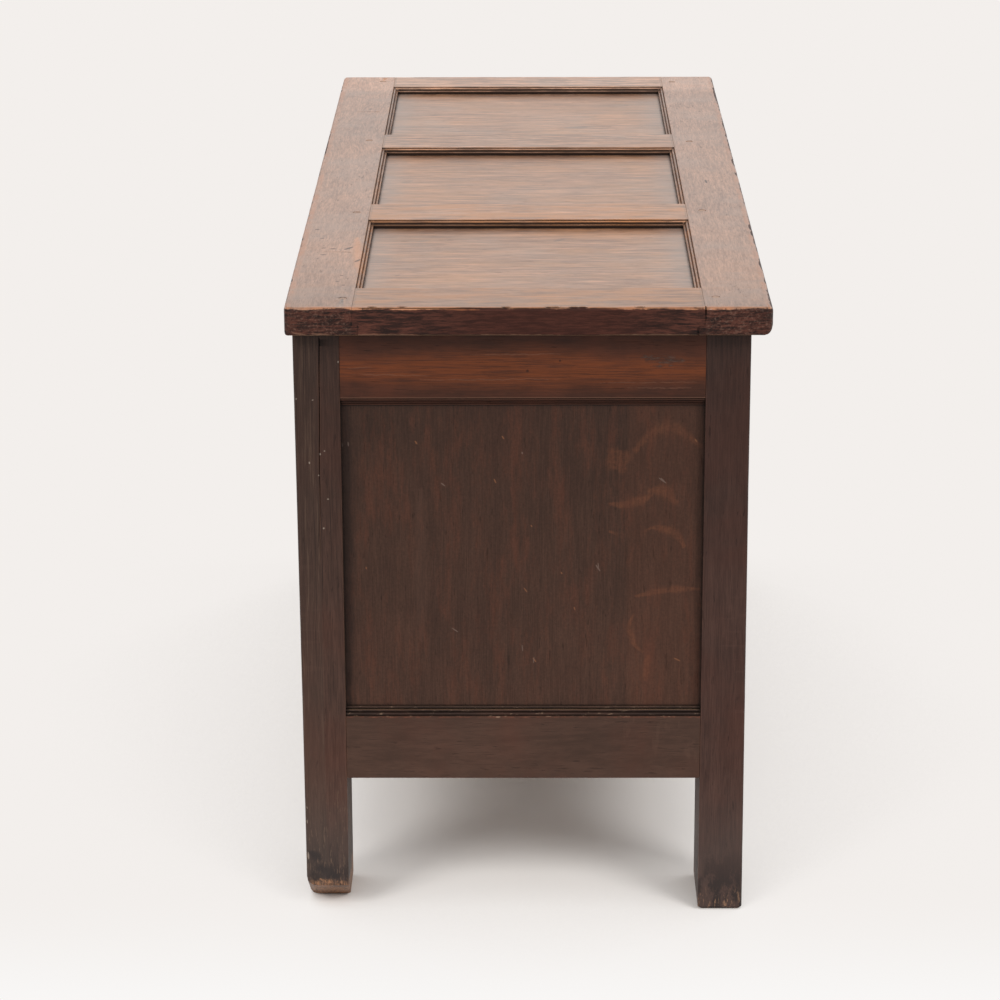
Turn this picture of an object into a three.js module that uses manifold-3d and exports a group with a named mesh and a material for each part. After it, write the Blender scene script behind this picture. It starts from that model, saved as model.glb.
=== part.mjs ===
// Joined oak coffer chest of frame-and-panel work. Four stiles run down as feet. Rails are tenoned
// into them, muntins are tenoned into the rails, and loose panels sit in grooves. The bottom is of
// loose boards. The lid is a framed and panelled top that turns on two pairs of linked iron eyes.
// Millimetres, +Z up, X along the chest, front towards -Y, origin on the floor under the lid's centre.
import * as THREE from 'three';
import { mergeVertices } from 'three/addons/utils/BufferGeometryUtils.js';
import Module from 'manifold-3d';

// Whole chest
const lidLength = 1245;
const lidDepth = 510;
const endOverhang = 20;
const frontOverhang = 21;
const rearOverhang = 9;
const stileHeight = 664;

// Fits between pieces that touch
const fit = 0.3;
const mortiseEnd = 1.5;
const overrun = 2;

// Stock of the case
const stileWidth = 95;
const stileDepth = 47;
const railThick = 27;
const topRailHeight = 82.5;
const bottomRailHeight = 81.5;
const bottomRailRise = 157.5;
const caseMuntinWidth = 77;
const stileArris = 2.5;

// Stock of the lid
const lidThick = 30;
const lidLongRailWidth = 77;
const lidLeftRailWidth = 82;
const lidRightRailWidth = 71;
const lidMuntinWidth = 77;
const lidFrontTopRound = 5;
const lidFrontUnderRound = 9;
const lidRearRound = 2.5;
const lidEndTopWear = 3;
const lidEndUnderWear = 1.5;
const lidCornerRound = 8;

// Run moulding: flat reeds, each behind a quirk, stepping down from the flat to the panel, three on
// the case and two on the lid
const mouldingDepth = 8;
const quirkWidth = 0.9;
const quirkSink = 0.5;
const reedCrown = 0.6;
const caseMouldingWidth = 9;
const caseFirstStep = 1.8;
const caseSecondStep = 4.4;
const caseThirdStep = 6.8;
const lidMouldingWidth = 6;
const lidFirstStep = 2.2;
const lidSecondStep = 5.4;
const arcSegments = 4;

// Panels, thinned at the back to a tongue that floats in the grooves
const panelSink = 9;
const panelThick = 11;
const tongueThick = 6.5;
const grooveDepth = 8;
const grooveEnd = 1;
const panelBevel = 32;

// Tenons
const tenonSink = 11;
const tenonThick = 9;
const tenonShoulder = 2;
const haunch = 14;
const frontTenon = 60;
const endTenon = 35;
const muntinTenon = 40;
const lidTenon = 52;
const lidEndHaunch = 24;

// Bottom boards, housed in a groove of the front rail and nailed up under the rear rail
const boardCount = 6;
const boardThick = 12;
const boardRise = 14;
const boardHousing = 7;
const boardLap = 9;
const boardSetback = 3;

// Feet
const footWear = 4;
const wornFootHeight = 29;
const wornFootRun = 42;
const wornCorner = 14;
const wornCornerHeight = 41;

// Lid hinges: linked eyes of round iron, their shanks driven in aslant and the ends clenched
const hingeInset = 240;
const eyeRadius = 5;
const wireRadius = 1.5;
const shankRadius = 2;
const eyeStandoff = 2.4;
const eyeClear = 0.5;
const clenchLength = 15;
const clenchWidth = 3.4;
const clenchThick = 1.2;
const eyeSegments = 20;
const wireSegments = 8;
const shankSlope = Math.PI / 4;

const wasm = await Module();
wasm.setup();
const X = new THREE.Vector3(1, 0, 0);
const Y = new THREE.Vector3(0, 1, 0);
const Z = new THREE.Vector3(0, 0, 1);

// A closed three.js geometry as a solid that can be joined and cut.
function solid(geometry) {
  geometry.deleteAttribute('normal');
  geometry.deleteAttribute('uv');
  const merged = mergeVertices(geometry);
  return new wasm.Manifold(new wasm.Mesh({
    numProp: 3,
    vertProperties: merged.attributes.position.array,
    triVerts: new Uint32Array(merged.index.array),
  }));
}

// A rectangular block between two corners.
function block([x0, y0, z0], [x1, y1, z1]) {
  const geometry = new THREE.BoxGeometry(x1 - x0, y1 - y0, z1 - z0);
  geometry.translate((x0 + x1) / 2, (y0 + y1) / 2, (z0 + z1) / 2);
  return solid(geometry);
}

// An outline drawn in the plane of two axes, pushed along the third from lo to hi.
function prism(shape, right, up, lo, hi) {
  const out = right.clone().cross(up);
  const start = out.dot(X) + out.dot(Y) + out.dot(Z) > 0 ? lo : -hi;
  const place = new THREE.Matrix4().makeBasis(right, up, out);
  place.setPosition(out.clone().multiplyScalar(start));
  const geometry = new THREE.ExtrudeGeometry(shape, {
    depth: hi - lo,
    bevelEnabled: false,
    curveSegments: arcSegments,
  });
  return solid(geometry.applyMatrix4(place));
}

function polygon(points) {
  return new THREE.Shape(points.map(([across, up]) => new THREE.Vector2(across, up)));
}

// A rectangle whose corners are rounded by a radius each: low left, low right, top right, top left.
function roundedRectangle(x0, y0, x1, y1, [lowLeft, lowRight, topRight, topLeft]) {
  const shape = new THREE.Shape();
  const right = 0;
  const up = Math.PI / 2;
  const left = Math.PI;
  const down = -Math.PI / 2;
  const corner = (cx, cy, radius, from, to) => {
    if (radius > 0) shape.absarc(cx, cy, radius, from, to, false);
    else shape.lineTo(cx, cy);
  };
  shape.moveTo(x0 + lowLeft, y0);
  corner(x1 - lowRight, y0 + lowRight, lowRight, down, right);
  corner(x1 - topRight, y1 - topRight, topRight, right, up);
  corner(x0 + topLeft, y1 - topLeft, topLeft, up, left);
  corner(x0 + lowLeft, y0 + lowLeft, lowLeft, left, left + up);
  return shape;
}

// A moulding's width, and for each reed how far in it begins and how deep it lies.
function runMoulding(width, steps) {
  const reedWidth = width / steps.length - quirkWidth;
  const reeds = steps.map((depth, index) => ({
    start: quirkWidth + index * (quirkWidth + reedWidth),
    depth,
  }));
  return { width, reedWidth, reeds };
}

const caseMoulding = runMoulding(caseMouldingWidth, [caseFirstStep, caseSecondStep, caseThirdStep]);
const lidMoulding = runMoulding(lidMouldingWidth, [lidFirstStep, lidSecondStep]);

// Section of the space over an opening between lo and hi. A moulded side steps down in its reeds,
// and a plain side goes straight down.
function openingSection(lo, hi, lowMoulded, highMoulded, moulding) {
  const shape = new THREE.Shape();
  const side = (edge, into, moulded) => {
    if (!moulded) return [[edge, -mouldingDepth]];
    const points = [[edge, 0]];
    for (const reed of moulding.reeds) {
      points.push([edge + into * (reed.start - quirkWidth / 2), -reed.depth - quirkSink]);
      for (let step = 0; step <= arcSegments; step += 1) {
        const along = step / arcSegments;
        const crown = reedCrown * Math.sin(Math.PI * along);
        const across = reed.start + along * moulding.reedWidth;
        points.push([edge + into * across, -reed.depth + crown]);
      }
    }
    points.push([edge + into * moulding.width, -mouldingDepth]);
    return points;
  };
  const low = side(lo, 1, lowMoulded);
  const high = side(hi, -1, highMoulded).reverse();
  shape.setFromPoints([[lo, overrun], ...low, ...high, [hi, overrun]]
    .map(([across, up]) => new THREE.Vector2(across, up)));
  return shape;
}

// Section of a panel between its two tongue ends, its back bevelled up from the tongues.
function panelSection(lo, hi, sightLo, sightHi) {
  return polygon([
    [lo, -panelSink],
    [lo, -panelSink - tongueThick],
    [sightLo, -panelSink - tongueThick],
    [sightLo + panelBevel, -panelSink - panelThick],
    [sightHi - panelBevel, -panelSink - panelThick],
    [sightHi, -panelSink - tongueThick],
    [hi, -panelSink - tongueThick],
    [hi, -panelSink],
  ]);
}

// Frame-and-panel work in its own plane: X along it, Y up it, and the show face at Z = 0 with the
// wood below. Two rails run along it, low and high. Cross members are tenoned into the rails and
// divide it into openings, each with a panel in grooves. Where the rails are moulded, the moulding
// goes round the opening, mitred at its corners: the front shoulder of a cross member runs over the
// moulding to the rail's flat, and its back shoulder stops at the rail's edge.
function framedWork({ place, thick, from, to, low, high, crosses, panels, moulding, tenons, ends }) {
  const strip = moulding ? moulding.width : 0;
  const lipDepth = tenonSink + tenonThick;
  const pieces = new Map();
  const cuts = [];
  const endGap = ends ? fit : 0;
  const lowRail = { solid: block([from + endGap, low.from, -thick], [to - endGap, low.to, 0]) };
  const highRail = { solid: block([from + endGap, high.from, -thick], [to - endGap, high.to, 0]) };

  // Tenons of the rails, let into the stiles at both ends.
  if (ends) {
    for (const [rail, bottom, top] of [
      [lowRail, low.from + haunch, low.to - grooveDepth - tenonShoulder],
      [highRail, high.from + grooveDepth + tenonShoulder, high.to - haunch],
    ]) {
      const back = -tenonSink - tenonThick;
      rail.solid = rail.solid.add(block([from - ends, bottom, back], [to + ends, top, -tenonSink]));
      const deep = ends + mortiseEnd;
      cuts.push(block(
        [from - deep, bottom - fit, back - fit],
        [to + deep, top + fit, fit - tenonSink],
      ));
    }
  }

  // Outline of a cross member's front shoulder, mitred back over the moulding of the rail.
  const shoulder = (cross, sight, into, gap, reach) => {
    const side = (flat, outward) => {
      const open = outward < 0 ? flat === from : flat === to;
      if (open) {
        const edge = flat + outward * reach;
        return [[edge, sight - into * overrun], [edge, sight + into * (strip - gap)]];
      }
      const slack = gap * Math.SQRT2;
      const wide = flat + outward * (strip - slack);
      return [
        [wide, sight - into * overrun],
        [wide, sight],
        [flat + outward * (gap - slack), sight + into * (strip - gap)],
      ];
    };
    return polygon([...side(cross.from, -1), ...side(cross.to, 1).reverse()]);
  };

  for (const cross of crosses) {
    const leftStrip = cross.from === from ? 0 : strip;
    const rightStrip = cross.to === to ? 0 : strip;
    let wood = block(
      [cross.from - leftStrip, low.to + fit, -thick],
      [cross.to + rightStrip, high.from - fit, 0],
    );
    for (const [rail, sight, into] of [[lowRail, low.to, -1], [highRail, high.from, 1]]) {
      if (moulding) {
        const lip = shoulder(cross, sight, into, fit, 0);
        const seat = shoulder(cross, sight, into, 0, overrun);
        wood = wood.add(prism(lip, X, Y, fit - lipDepth, 0));
        rail.solid = rail.solid.subtract(prism(seat, X, Y, -lipDepth, overrun));
      }
      const inset = grooveDepth + tenonShoulder;
      const tenonFrom = cross.from + (cross.from === from ? lidEndHaunch : inset - leftStrip);
      const tenonTo = cross.to - (cross.to === to ? lidEndHaunch : inset - rightStrip);
      const [root, end] = [sight - into * overrun, sight + into * tenons];
      const face = -tenonSink;
      wood = wood.add(block(
        [tenonFrom, Math.min(root, end), face - tenonThick],
        [tenonTo, Math.max(root, end), face],
      ));
      const deep = sight + into * (tenons + mortiseEnd);
      rail.solid = rail.solid.subtract(block(
        [tenonFrom - fit, Math.min(root, deep), face - tenonThick - fit],
        [tenonTo + fit, Math.max(root, deep), face + fit],
      ));
    }
    cross.solid = wood;
  }

  // Openings: the moulded edges round each, its grooves and its panel.
  const marks = [from, ...crosses.flatMap((cross) => [cross.from, cross.to]), to];
  const members = [lowRail, highRail, ...crosses];
  const lowFlat = low.to - strip;
  const highFlat = high.from + strip;
  let panelIndex = 0;
  for (let index = 0; index < marks.length; index += 2) {
    const [flatFrom, flatTo] = [marks[index], marks[index + 1]];
    if (flatTo <= flatFrom) continue;
    const leftMoulded = moulding && flatFrom !== from;
    const rightMoulded = moulding && flatTo !== to;
    const sightFrom = flatFrom + (leftMoulded ? strip : 0);
    const sightTo = flatTo - (rightMoulded ? strip : 0);
    const acrossRails = openingSection(lowFlat, highFlat, moulding, moulding, moulding);
    const acrossMuntins = openingSection(flatFrom, flatTo, leftMoulded, rightMoulded, moulding);
    const space = prism(acrossRails, Y, Z, flatFrom, flatTo)
      .intersect(prism(acrossMuntins, X, Z, lowFlat, highFlat));
    const groove = block(
      [sightFrom - grooveDepth, low.to - grooveDepth, -panelSink - tongueThick - fit],
      [sightTo + grooveDepth, high.from + grooveDepth, fit - panelSink],
    );
    cuts.push(groove);
    for (const member of members) member.solid = member.solid.subtract(space).subtract(groove);
    const reach = grooveDepth - grooveEnd;
    const [left, right] = [sightFrom - reach, sightTo + reach];
    const [bottom, top] = [low.to - reach, high.from + reach];
    const panel = prism(panelSection(left, right, sightFrom, sightTo), X, Z, bottom, top)
      .intersect(prism(panelSection(bottom, top, low.to, high.from), Y, Z, left, right));
    pieces.set(panels[panelIndex], panel);
    panelIndex += 1;
  }

  pieces.set(low.name, lowRail.solid);
  pieces.set(high.name, highRail.solid);
  for (const cross of crosses) pieces.set(cross.name, cross.solid);
  for (const [name, piece] of pieces) pieces.set(name, piece.transform(place.elements));
  return { pieces, cuts: cuts.map((cut) => cut.transform(place.elements)) };
}

// Cross members of equal width that leave equal openings between two limits.
function evenCrosses(names, from, to, width) {
  const opening = (to - from - names.length * width) / (names.length + 1);
  return names.map((name, index) => {
    const start = from + opening + index * (opening + width);
    return { name, from: start, to: start + width };
  });
}

// Planes of the case
const leftX = endOverhang - lidLength / 2;
const rightX = -leftX;
const frontY = frontOverhang - lidDepth / 2;
const rearY = lidDepth / 2 - rearOverhang;
const middleY = (frontY + rearY) / 2;
const wallReach = rightX - stileWidth;
const endReach = (rearY - frontY) / 2 - stileDepth;
const boardTop = bottomRailRise + boardRise + boardThick;
const topRail = { from: stileHeight - topRailHeight, to: stileHeight };
const bottomRail = { from: bottomRailRise, to: bottomRailRise + bottomRailHeight };

// The matrix of a wall: its run, its height and the way it faces, from a point at its foot.
function wallPlace(run, facing, x, y) {
  return new THREE.Matrix4().makeBasis(run, Z, facing).setPosition(x, y, 0);
}

const front = framedWork({
  place: wallPlace(X, Y.clone().negate(), 0, frontY),
  thick: railThick,
  from: -wallReach,
  to: wallReach,
  low: { name: 'front_bottom_rail', ...bottomRail },
  high: { name: 'front_top_rail', ...topRail },
  crosses: evenCrosses(['front_muntin_left', 'front_muntin_right'], -wallReach, wallReach, caseMuntinWidth),
  panels: ['front_panel_left', 'front_panel_middle', 'front_panel_right'],
  moulding: caseMoulding,
  tenons: muntinTenon,
  ends: frontTenon,
});

const rear = framedWork({
  place: wallPlace(X.clone().negate(), Y, 0, rearY),
  thick: railThick,
  from: -wallReach,
  to: wallReach,
  low: { name: 'rear_bottom_rail', from: boardTop + fit, to: bottomRail.to },
  high: { name: 'rear_top_rail', ...topRail },
  crosses: evenCrosses(['rear_muntin_right', 'rear_muntin_left'], -wallReach, wallReach, caseMuntinWidth),
  panels: ['rear_panel_right', 'rear_panel_middle', 'rear_panel_left'],
  moulding: null,
  tenons: muntinTenon,
  ends: frontTenon,
});

// An end wall has one panel, and its rails run between the two stiles.
function endWall(side, place) {
  return framedWork({
    place,
    thick: railThick,
    from: -endReach,
    to: endReach,
    low: { name: `${side}_end_bottom_rail`, ...bottomRail },
    high: { name: `${side}_end_top_rail`, ...topRail },
    crosses: [],
    panels: [`${side}_end_panel`],
    moulding: caseMoulding,
    ends: endTenon,
  });
}

const leftEnd = endWall('left', wallPlace(Y.clone().negate(), X.clone().negate(), leftX, middleY));
const rightEnd = endWall('right', wallPlace(Y, X, rightX, middleY));

// A stile between its outer and inner corners, its outer arris eased and its foot worn round.
function stile(outerX, outerY, cuts) {
  const innerX = outerX - Math.sign(outerX) * stileWidth;
  const innerY = outerY === frontY ? outerY + stileDepth : outerY - stileDepth;
  const [x0, x1] = [Math.min(outerX, innerX), Math.max(outerX, innerX)];
  const [y0, y1] = [Math.min(outerY, innerY), Math.max(outerY, innerY)];
  const eased = (x, y) => (x === outerX && y === outerY ? stileArris : 0);
  const section = roundedRectangle(x0, y0, x1, y1, [
    eased(x0, y0),
    eased(x1, y0),
    eased(x1, y1),
    eased(x0, y1),
  ]);
  const foot = (lo, hi) => polygon([
    [lo + footWear, 0],
    [hi - footWear, 0],
    [hi, footWear],
    [hi, stileHeight],
    [lo, stileHeight],
    [lo, footWear],
  ]);
  let wood = prism(section, X, Y, 0, stileHeight)
    .intersect(prism(foot(x0, x1), X, Z, y0 - overrun, y1 + overrun))
    .intersect(prism(foot(y0, y1), Y, Z, x0 - overrun, x1 + overrun));
  for (const cut of cuts) wood = wood.subtract(cut);
  return wood;
}

// The rear left foot is worn short: its underside slopes up towards the end face, and is rounded
// up again at the outer corner.
const wornOutline = new THREE.Shape();
wornOutline.moveTo(rearY - stileDepth - overrun, -wornCornerHeight);
wornOutline.lineTo(rearY - stileDepth - overrun, wornFootHeight);
wornOutline.lineTo(rearY - wornCorner, wornFootHeight);
wornOutline.quadraticCurveTo(rearY, wornFootHeight, rearY, wornCornerHeight);
wornOutline.lineTo(rearY + overrun, wornCornerHeight);
wornOutline.lineTo(rearY + overrun, -wornCornerHeight);
const wornSlope = wornFootHeight / wornFootRun;
const wornLean = new THREE.Matrix4().makeShear(0, -wornSlope, 0, 0, 0, 0);
wornLean.setPosition(0, 0, wornSlope * leftX);
const wornFoot = prism(wornOutline, Y, Z, leftX - overrun, leftX + stileWidth + overrun)
  .transform(wornLean.elements);

const caseWood = new Map([
  ...front.pieces,
  ...rear.pieces,
  ...leftEnd.pieces,
  ...rightEnd.pieces,
  ['stile_front_left', stile(leftX, frontY, [...front.cuts, ...leftEnd.cuts])],
  ['stile_front_right', stile(rightX, frontY, [...front.cuts, ...rightEnd.cuts])],
  ['stile_rear_left', stile(leftX, rearY, [...rear.cuts, ...leftEnd.cuts, wornFoot])],
  ['stile_rear_right', stile(rightX, rearY, [...rear.cuts, ...rightEnd.cuts])],
]);

// Bottom boards run front to back, half-lapped at their long edges and cut round the stiles.
const boardFloor = bottomRailRise + boardRise;
const housing = block(
  [-wallReach, frontY + railThick - boardHousing, boardFloor - fit],
  [wallReach, frontY + railThick + overrun, boardTop + fit],
);
caseWood.set('front_bottom_rail', caseWood.get('front_bottom_rail').subtract(housing));
const boardsFrom = leftX + railThick + fit;
const boardsTo = rightX - railThick - fit;
const boardWidth = (boardsTo - boardsFrom) / boardCount;
const boardFront = frontY + railThick - boardHousing + fit;
const boardBack = rearY - boardSetback;
const stileSpaces = [leftX, rightX].flatMap((x) => [frontY, rearY].map((y) => {
  const insideX = x - Math.sign(x) * (stileWidth + fit);
  const insideY = y === frontY ? y + stileDepth + fit : y - stileDepth - fit;
  return block(
    [Math.min(x, insideX) - overrun, Math.min(y, insideY) - overrun, 0],
    [Math.max(x, insideX) + overrun, Math.max(y, insideY) + overrun, stileHeight],
  );
}));
for (let index = 0; index < boardCount; index += 1) {
  const start = boardsFrom + index * boardWidth;
  const end = start + boardWidth;
  const middle = boardFloor + boardThick / 2;
  const upperGap = index === 0 ? 0 : fit;
  const lowerStart = index === 0 ? start : start + boardLap + fit;
  const lowerEnd = index === boardCount - 1 ? end : end + boardLap;
  let board = block([start + upperGap, boardFront, middle], [end, boardBack, boardTop])
    .add(block([lowerStart, boardFront, boardFloor], [lowerEnd, boardBack, middle]));
  if (index > 0) {
    board = board.subtract(block(
      [start, boardFront - overrun, middle - overrun],
      [start + boardLap + fit, boardBack + overrun, middle + fit],
    ));
  }
  for (const space of stileSpaces) board = board.subtract(space);
  caseWood.set(`bottom_board_${index + 1}`, board);
}

// Lid: long rails front and rear over its full length, end rails and muntins tenoned between them.
const lidUnder = stileHeight + fit;
const lidTop = lidUnder + lidThick;
const lidHalf = lidLength / 2;
const lidFlatLeft = lidLeftRailWidth - lidHalf;
const lidFlatRight = lidHalf - lidRightRailWidth;
const lid = framedWork({
  place: new THREE.Matrix4().makeTranslation(0, 0, lidTop),
  thick: lidThick,
  from: -lidHalf,
  to: lidHalf,
  low: { name: 'lid_front_rail', from: -lidDepth / 2, to: lidLongRailWidth - lidDepth / 2 },
  high: { name: 'lid_rear_rail', from: lidDepth / 2 - lidLongRailWidth, to: lidDepth / 2 },
  crosses: [
    { name: 'lid_left_rail', from: -lidHalf, to: lidFlatLeft },
    ...evenCrosses(['lid_muntin_left', 'lid_muntin_right'], lidFlatLeft, lidFlatRight, lidMuntinWidth),
    { name: 'lid_right_rail', from: lidFlatRight, to: lidHalf },
  ],
  panels: ['lid_panel_left', 'lid_panel_middle', 'lid_panel_right'],
  moulding: lidMoulding,
  tenons: lidTenon,
  ends: 0,
});

// The worn outer form of the lid: rounded front edge, eased rear edge, ends and corners.
const lidForm = prism(
  roundedRectangle(-lidDepth / 2, lidUnder, lidDepth / 2, lidTop, [
    lidFrontUnderRound,
    lidRearRound,
    lidRearRound,
    lidFrontTopRound,
  ]), Y, Z, -lidHalf, lidHalf,
).intersect(prism(
  roundedRectangle(-lidHalf, lidUnder, lidHalf, lidTop, [
    lidEndUnderWear,
    lidEndUnderWear,
    lidEndTopWear,
    lidEndTopWear,
  ]), X, Z, -lidDepth / 2, lidDepth / 2,
)).intersect(prism(
  roundedRectangle(-lidHalf, -lidDepth / 2, lidHalf, lidDepth / 2, Array(4).fill(lidCornerRound)),
  X, Y, lidUnder, lidTop,
));
const lidWood = new Map([...lid.pieces].map(([name, piece]) => [name, piece.intersect(lidForm)]));

// Hinges: the lid's eye hangs in the plane square to the hinge line, the case's eye lies across it.
const axisY = rearY + eyeStandoff;
const eyeOuter = eyeRadius + wireRadius;
const axisZ = lidUnder - eyeOuter - eyeClear;

// An eye, its shank and the two halves of its split end, hammered flat into the wood. Along is the
// way the shank runs, travel its length from the hinge line to the face that it comes out of, facing
// that face's normal, and spread the way the two halves are bent over.
function eyePiece(x, across, along, eyeCentre, travel, facing, spread) {
  const normal = new THREE.Vector3().crossVectors(across, along);
  const ring = new THREE.TorusGeometry(eyeRadius, wireRadius, wireSegments, eyeSegments);
  const hinge = new THREE.Vector3(x, axisY, axisZ);
  ring.applyMatrix4(new THREE.Matrix4().makeBasis(across, along, normal));
  const middle = hinge.clone().addScaledVector(along, eyeCentre);
  ring.translate(middle.x, middle.y, middle.z);
  const shankStart = eyeCentre + eyeRadius;
  const bite = along.dot(facing);
  const shankEnd = travel - shankRadius * Math.sqrt(1 / (bite * bite) - 1);
  const turn = new THREE.Matrix4().makeBasis(normal, along, across.clone().negate());
  const shankPlace = (geometry) => {
    const centre = hinge.clone().addScaledVector(along, (shankStart + shankEnd) / 2);
    return solid(geometry.applyMatrix4(turn).translate(centre.x, centre.y, centre.z));
  };
  const run = shankEnd - shankStart;
  const shank = shankPlace(new THREE.CylinderGeometry(shankRadius, shankRadius, run, wireSegments));
  const hole = shankPlace(new THREE.CylinderGeometry(
    shankRadius + fit,
    shankRadius + fit,
    run + overrun * 2,
    wireSegments,
  ));
  const end = hinge.clone().addScaledVector(along, travel);
  const clench = (gap, height) => {
    const low = end.clone().addScaledVector(facing, -clenchThick - gap)
      .addScaledVector(X, -clenchWidth / 2 - gap)
      .addScaledVector(spread, -clenchLength - gap);
    const high = end.clone().addScaledVector(facing, height)
      .addScaledVector(X, clenchWidth / 2 + gap)
      .addScaledVector(spread, clenchLength + gap);
    const box = new THREE.Box3().setFromPoints([low, high]);
    return block(box.min.toArray(), box.max.toArray());
  };
  return {
    piece: solid(ring).add(shank).add(clench(0, 0)),
    hole: hole.add(clench(fit, overrun)),
  };
}

const eyes = new Map();
const slope = { up: Math.sin(shankSlope), back: Math.cos(shankSlope) };
for (const [side, x] of [['left', hingeInset - lidHalf], ['right', lidHalf - hingeInset]]) {
  const upward = new THREE.Vector3(0, -slope.back, slope.up);
  const inward = new THREE.Vector3(0, -slope.back, -slope.up);
  const lidTravel = (lidTop - axisZ) / slope.up;
  const lidEye = eyePiece(x, Y.clone().multiplyScalar(slope.up).addScaledVector(Z, slope.back),
    upward, 0, lidTravel, Z, Y);
  const caseTravel = (axisY - rearY + railThick) / slope.back;
  const caseEye = eyePiece(x, X, inward, eyeRadius, caseTravel, Y.clone().negate(), Z);
  eyes.set(`hinge_${side}_lid_eye`, lidEye.piece);
  eyes.set(`hinge_${side}_case_eye`, caseEye.piece);
  lidWood.set('lid_rear_rail', lidWood.get('lid_rear_rail').subtract(lidEye.hole));

  // A notch in the rail's back corner makes room for the two eyes.
  const reach = slope.back * (2 * eyeRadius + wireRadius) + slope.up * wireRadius + eyeClear;
  const notch = block(
    [x - eyeOuter - eyeClear, axisY - reach, axisZ - reach],
    [x + eyeOuter + eyeClear, rearY + overrun, stileHeight + overrun],
  );
  const rail = caseWood.get('rear_top_rail').subtract(caseEye.hole).subtract(notch);
  caseWood.set('rear_top_rail', rail);
}

// Materials: dark waxed oak for the case, paler rubbed oak for the lid, black iron for the eyes.
const caseOak = { color: 0x46302a, roughness: 0.5, metalness: 0 };
const lidOak = { color: 0x7a5a48, roughness: 0.4, metalness: 0 };
const blackIron = { color: 0x2b2826, roughness: 0.6, metalness: 0.9 };

// A named mesh whose origin is the middle of its solid.
function addMesh(group, name, piece, finish) {
  const { numProp, vertProperties, triVerts } = piece.getMesh();
  const geometry = new THREE.BufferGeometry();
  const positions = new Float32Array((vertProperties.length / numProp) * 3);
  for (let index = 0; index < positions.length; index += 1) {
    positions[index] = vertProperties[Math.floor(index / 3) * numProp + (index % 3)];
  }
  geometry.setAttribute('position', new THREE.BufferAttribute(positions, 3));
  geometry.setIndex(new THREE.BufferAttribute(new Uint32Array(triVerts), 1));
  geometry.computeBoundingBox();
  const middle = geometry.boundingBox.getCenter(new THREE.Vector3());
  geometry.translate(-middle.x, -middle.y, -middle.z);
  const mesh = new THREE.Mesh(geometry, new THREE.MeshStandardMaterial(finish));
  mesh.name = name;
  mesh.position.copy(middle).sub(group.position);
  group.add(mesh);
}

const chest = new THREE.Group();
const caseGroup = new THREE.Group();
for (const [name, piece] of caseWood) addMesh(caseGroup, name, piece, caseOak);
const lidGroup = new THREE.Group();
lidGroup.position.set(0, axisY, axisZ);
for (const [name, piece] of lidWood) addMesh(lidGroup, name, piece, lidOak);
for (const [name, piece] of eyes) {
  addMesh(name.endsWith('lid_eye') ? lidGroup : caseGroup, name, piece, blackIron);
}
chest.add(caseGroup, lidGroup);

export default chest;
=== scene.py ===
import math

import bmesh
import bpy
from mathutils import Euler, Matrix, Vector, noise


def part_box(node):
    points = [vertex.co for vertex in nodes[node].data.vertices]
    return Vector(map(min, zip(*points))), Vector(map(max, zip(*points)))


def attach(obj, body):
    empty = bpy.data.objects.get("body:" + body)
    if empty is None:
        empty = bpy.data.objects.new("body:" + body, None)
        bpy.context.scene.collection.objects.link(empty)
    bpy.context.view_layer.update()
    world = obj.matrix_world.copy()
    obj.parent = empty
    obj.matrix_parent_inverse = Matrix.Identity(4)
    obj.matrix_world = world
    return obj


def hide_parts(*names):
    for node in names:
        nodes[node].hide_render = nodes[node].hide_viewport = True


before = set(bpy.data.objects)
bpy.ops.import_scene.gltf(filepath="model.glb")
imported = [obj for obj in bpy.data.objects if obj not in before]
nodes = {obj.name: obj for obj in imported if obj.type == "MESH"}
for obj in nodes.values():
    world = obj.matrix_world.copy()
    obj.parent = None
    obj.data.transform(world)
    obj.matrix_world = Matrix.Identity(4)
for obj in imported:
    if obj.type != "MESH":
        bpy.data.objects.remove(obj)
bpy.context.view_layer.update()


# The view: a long lens set a little above the chest, looking along it from its left end and
# slightly down on the lid. Angles in degrees, place in metres.
VIEW_PLACE = Vector((-4.0415, 0.0009, 1.6049))
VIEW_DOWN = 18.148
VIEW_HEADING = -89.509
VIEW_ROLL = -0.192
LENS = 122.35
SENSOR = 36.0
PICTURE = 1000
lens = bpy.data.cameras.new("view")
lens.sensor_width = SENSOR
lens.lens = LENS
lens.clip_end = 60.0
view = bpy.data.objects.new("view", lens)
aim = Euler((math.radians(90 - VIEW_DOWN), 0, math.radians(VIEW_HEADING))).to_matrix()
aim = aim @ Matrix.Rotation(math.radians(VIEW_ROLL), 3, "Z")
view.matrix_world = Matrix.Translation(VIEW_PLACE) @ aim.to_4x4()
bpy.context.scene.collection.objects.link(view)
bpy.context.scene.camera = view
bpy.context.scene.view_settings.view_transform = "Standard"


def seen_at(column, row, axis, level):
    """The point on one plane of the chest that shows at a pixel of the picture."""
    across = (column - PICTURE / 2) * SENSOR / PICTURE / LENS
    up = (PICTURE / 2 - row) * SENSOR / PICTURE / LENS
    ray = aim @ Vector((across, up, -1))
    return VIEW_PLACE + ray * ((level - VIEW_PLACE[axis]) / ray[axis])


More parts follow.
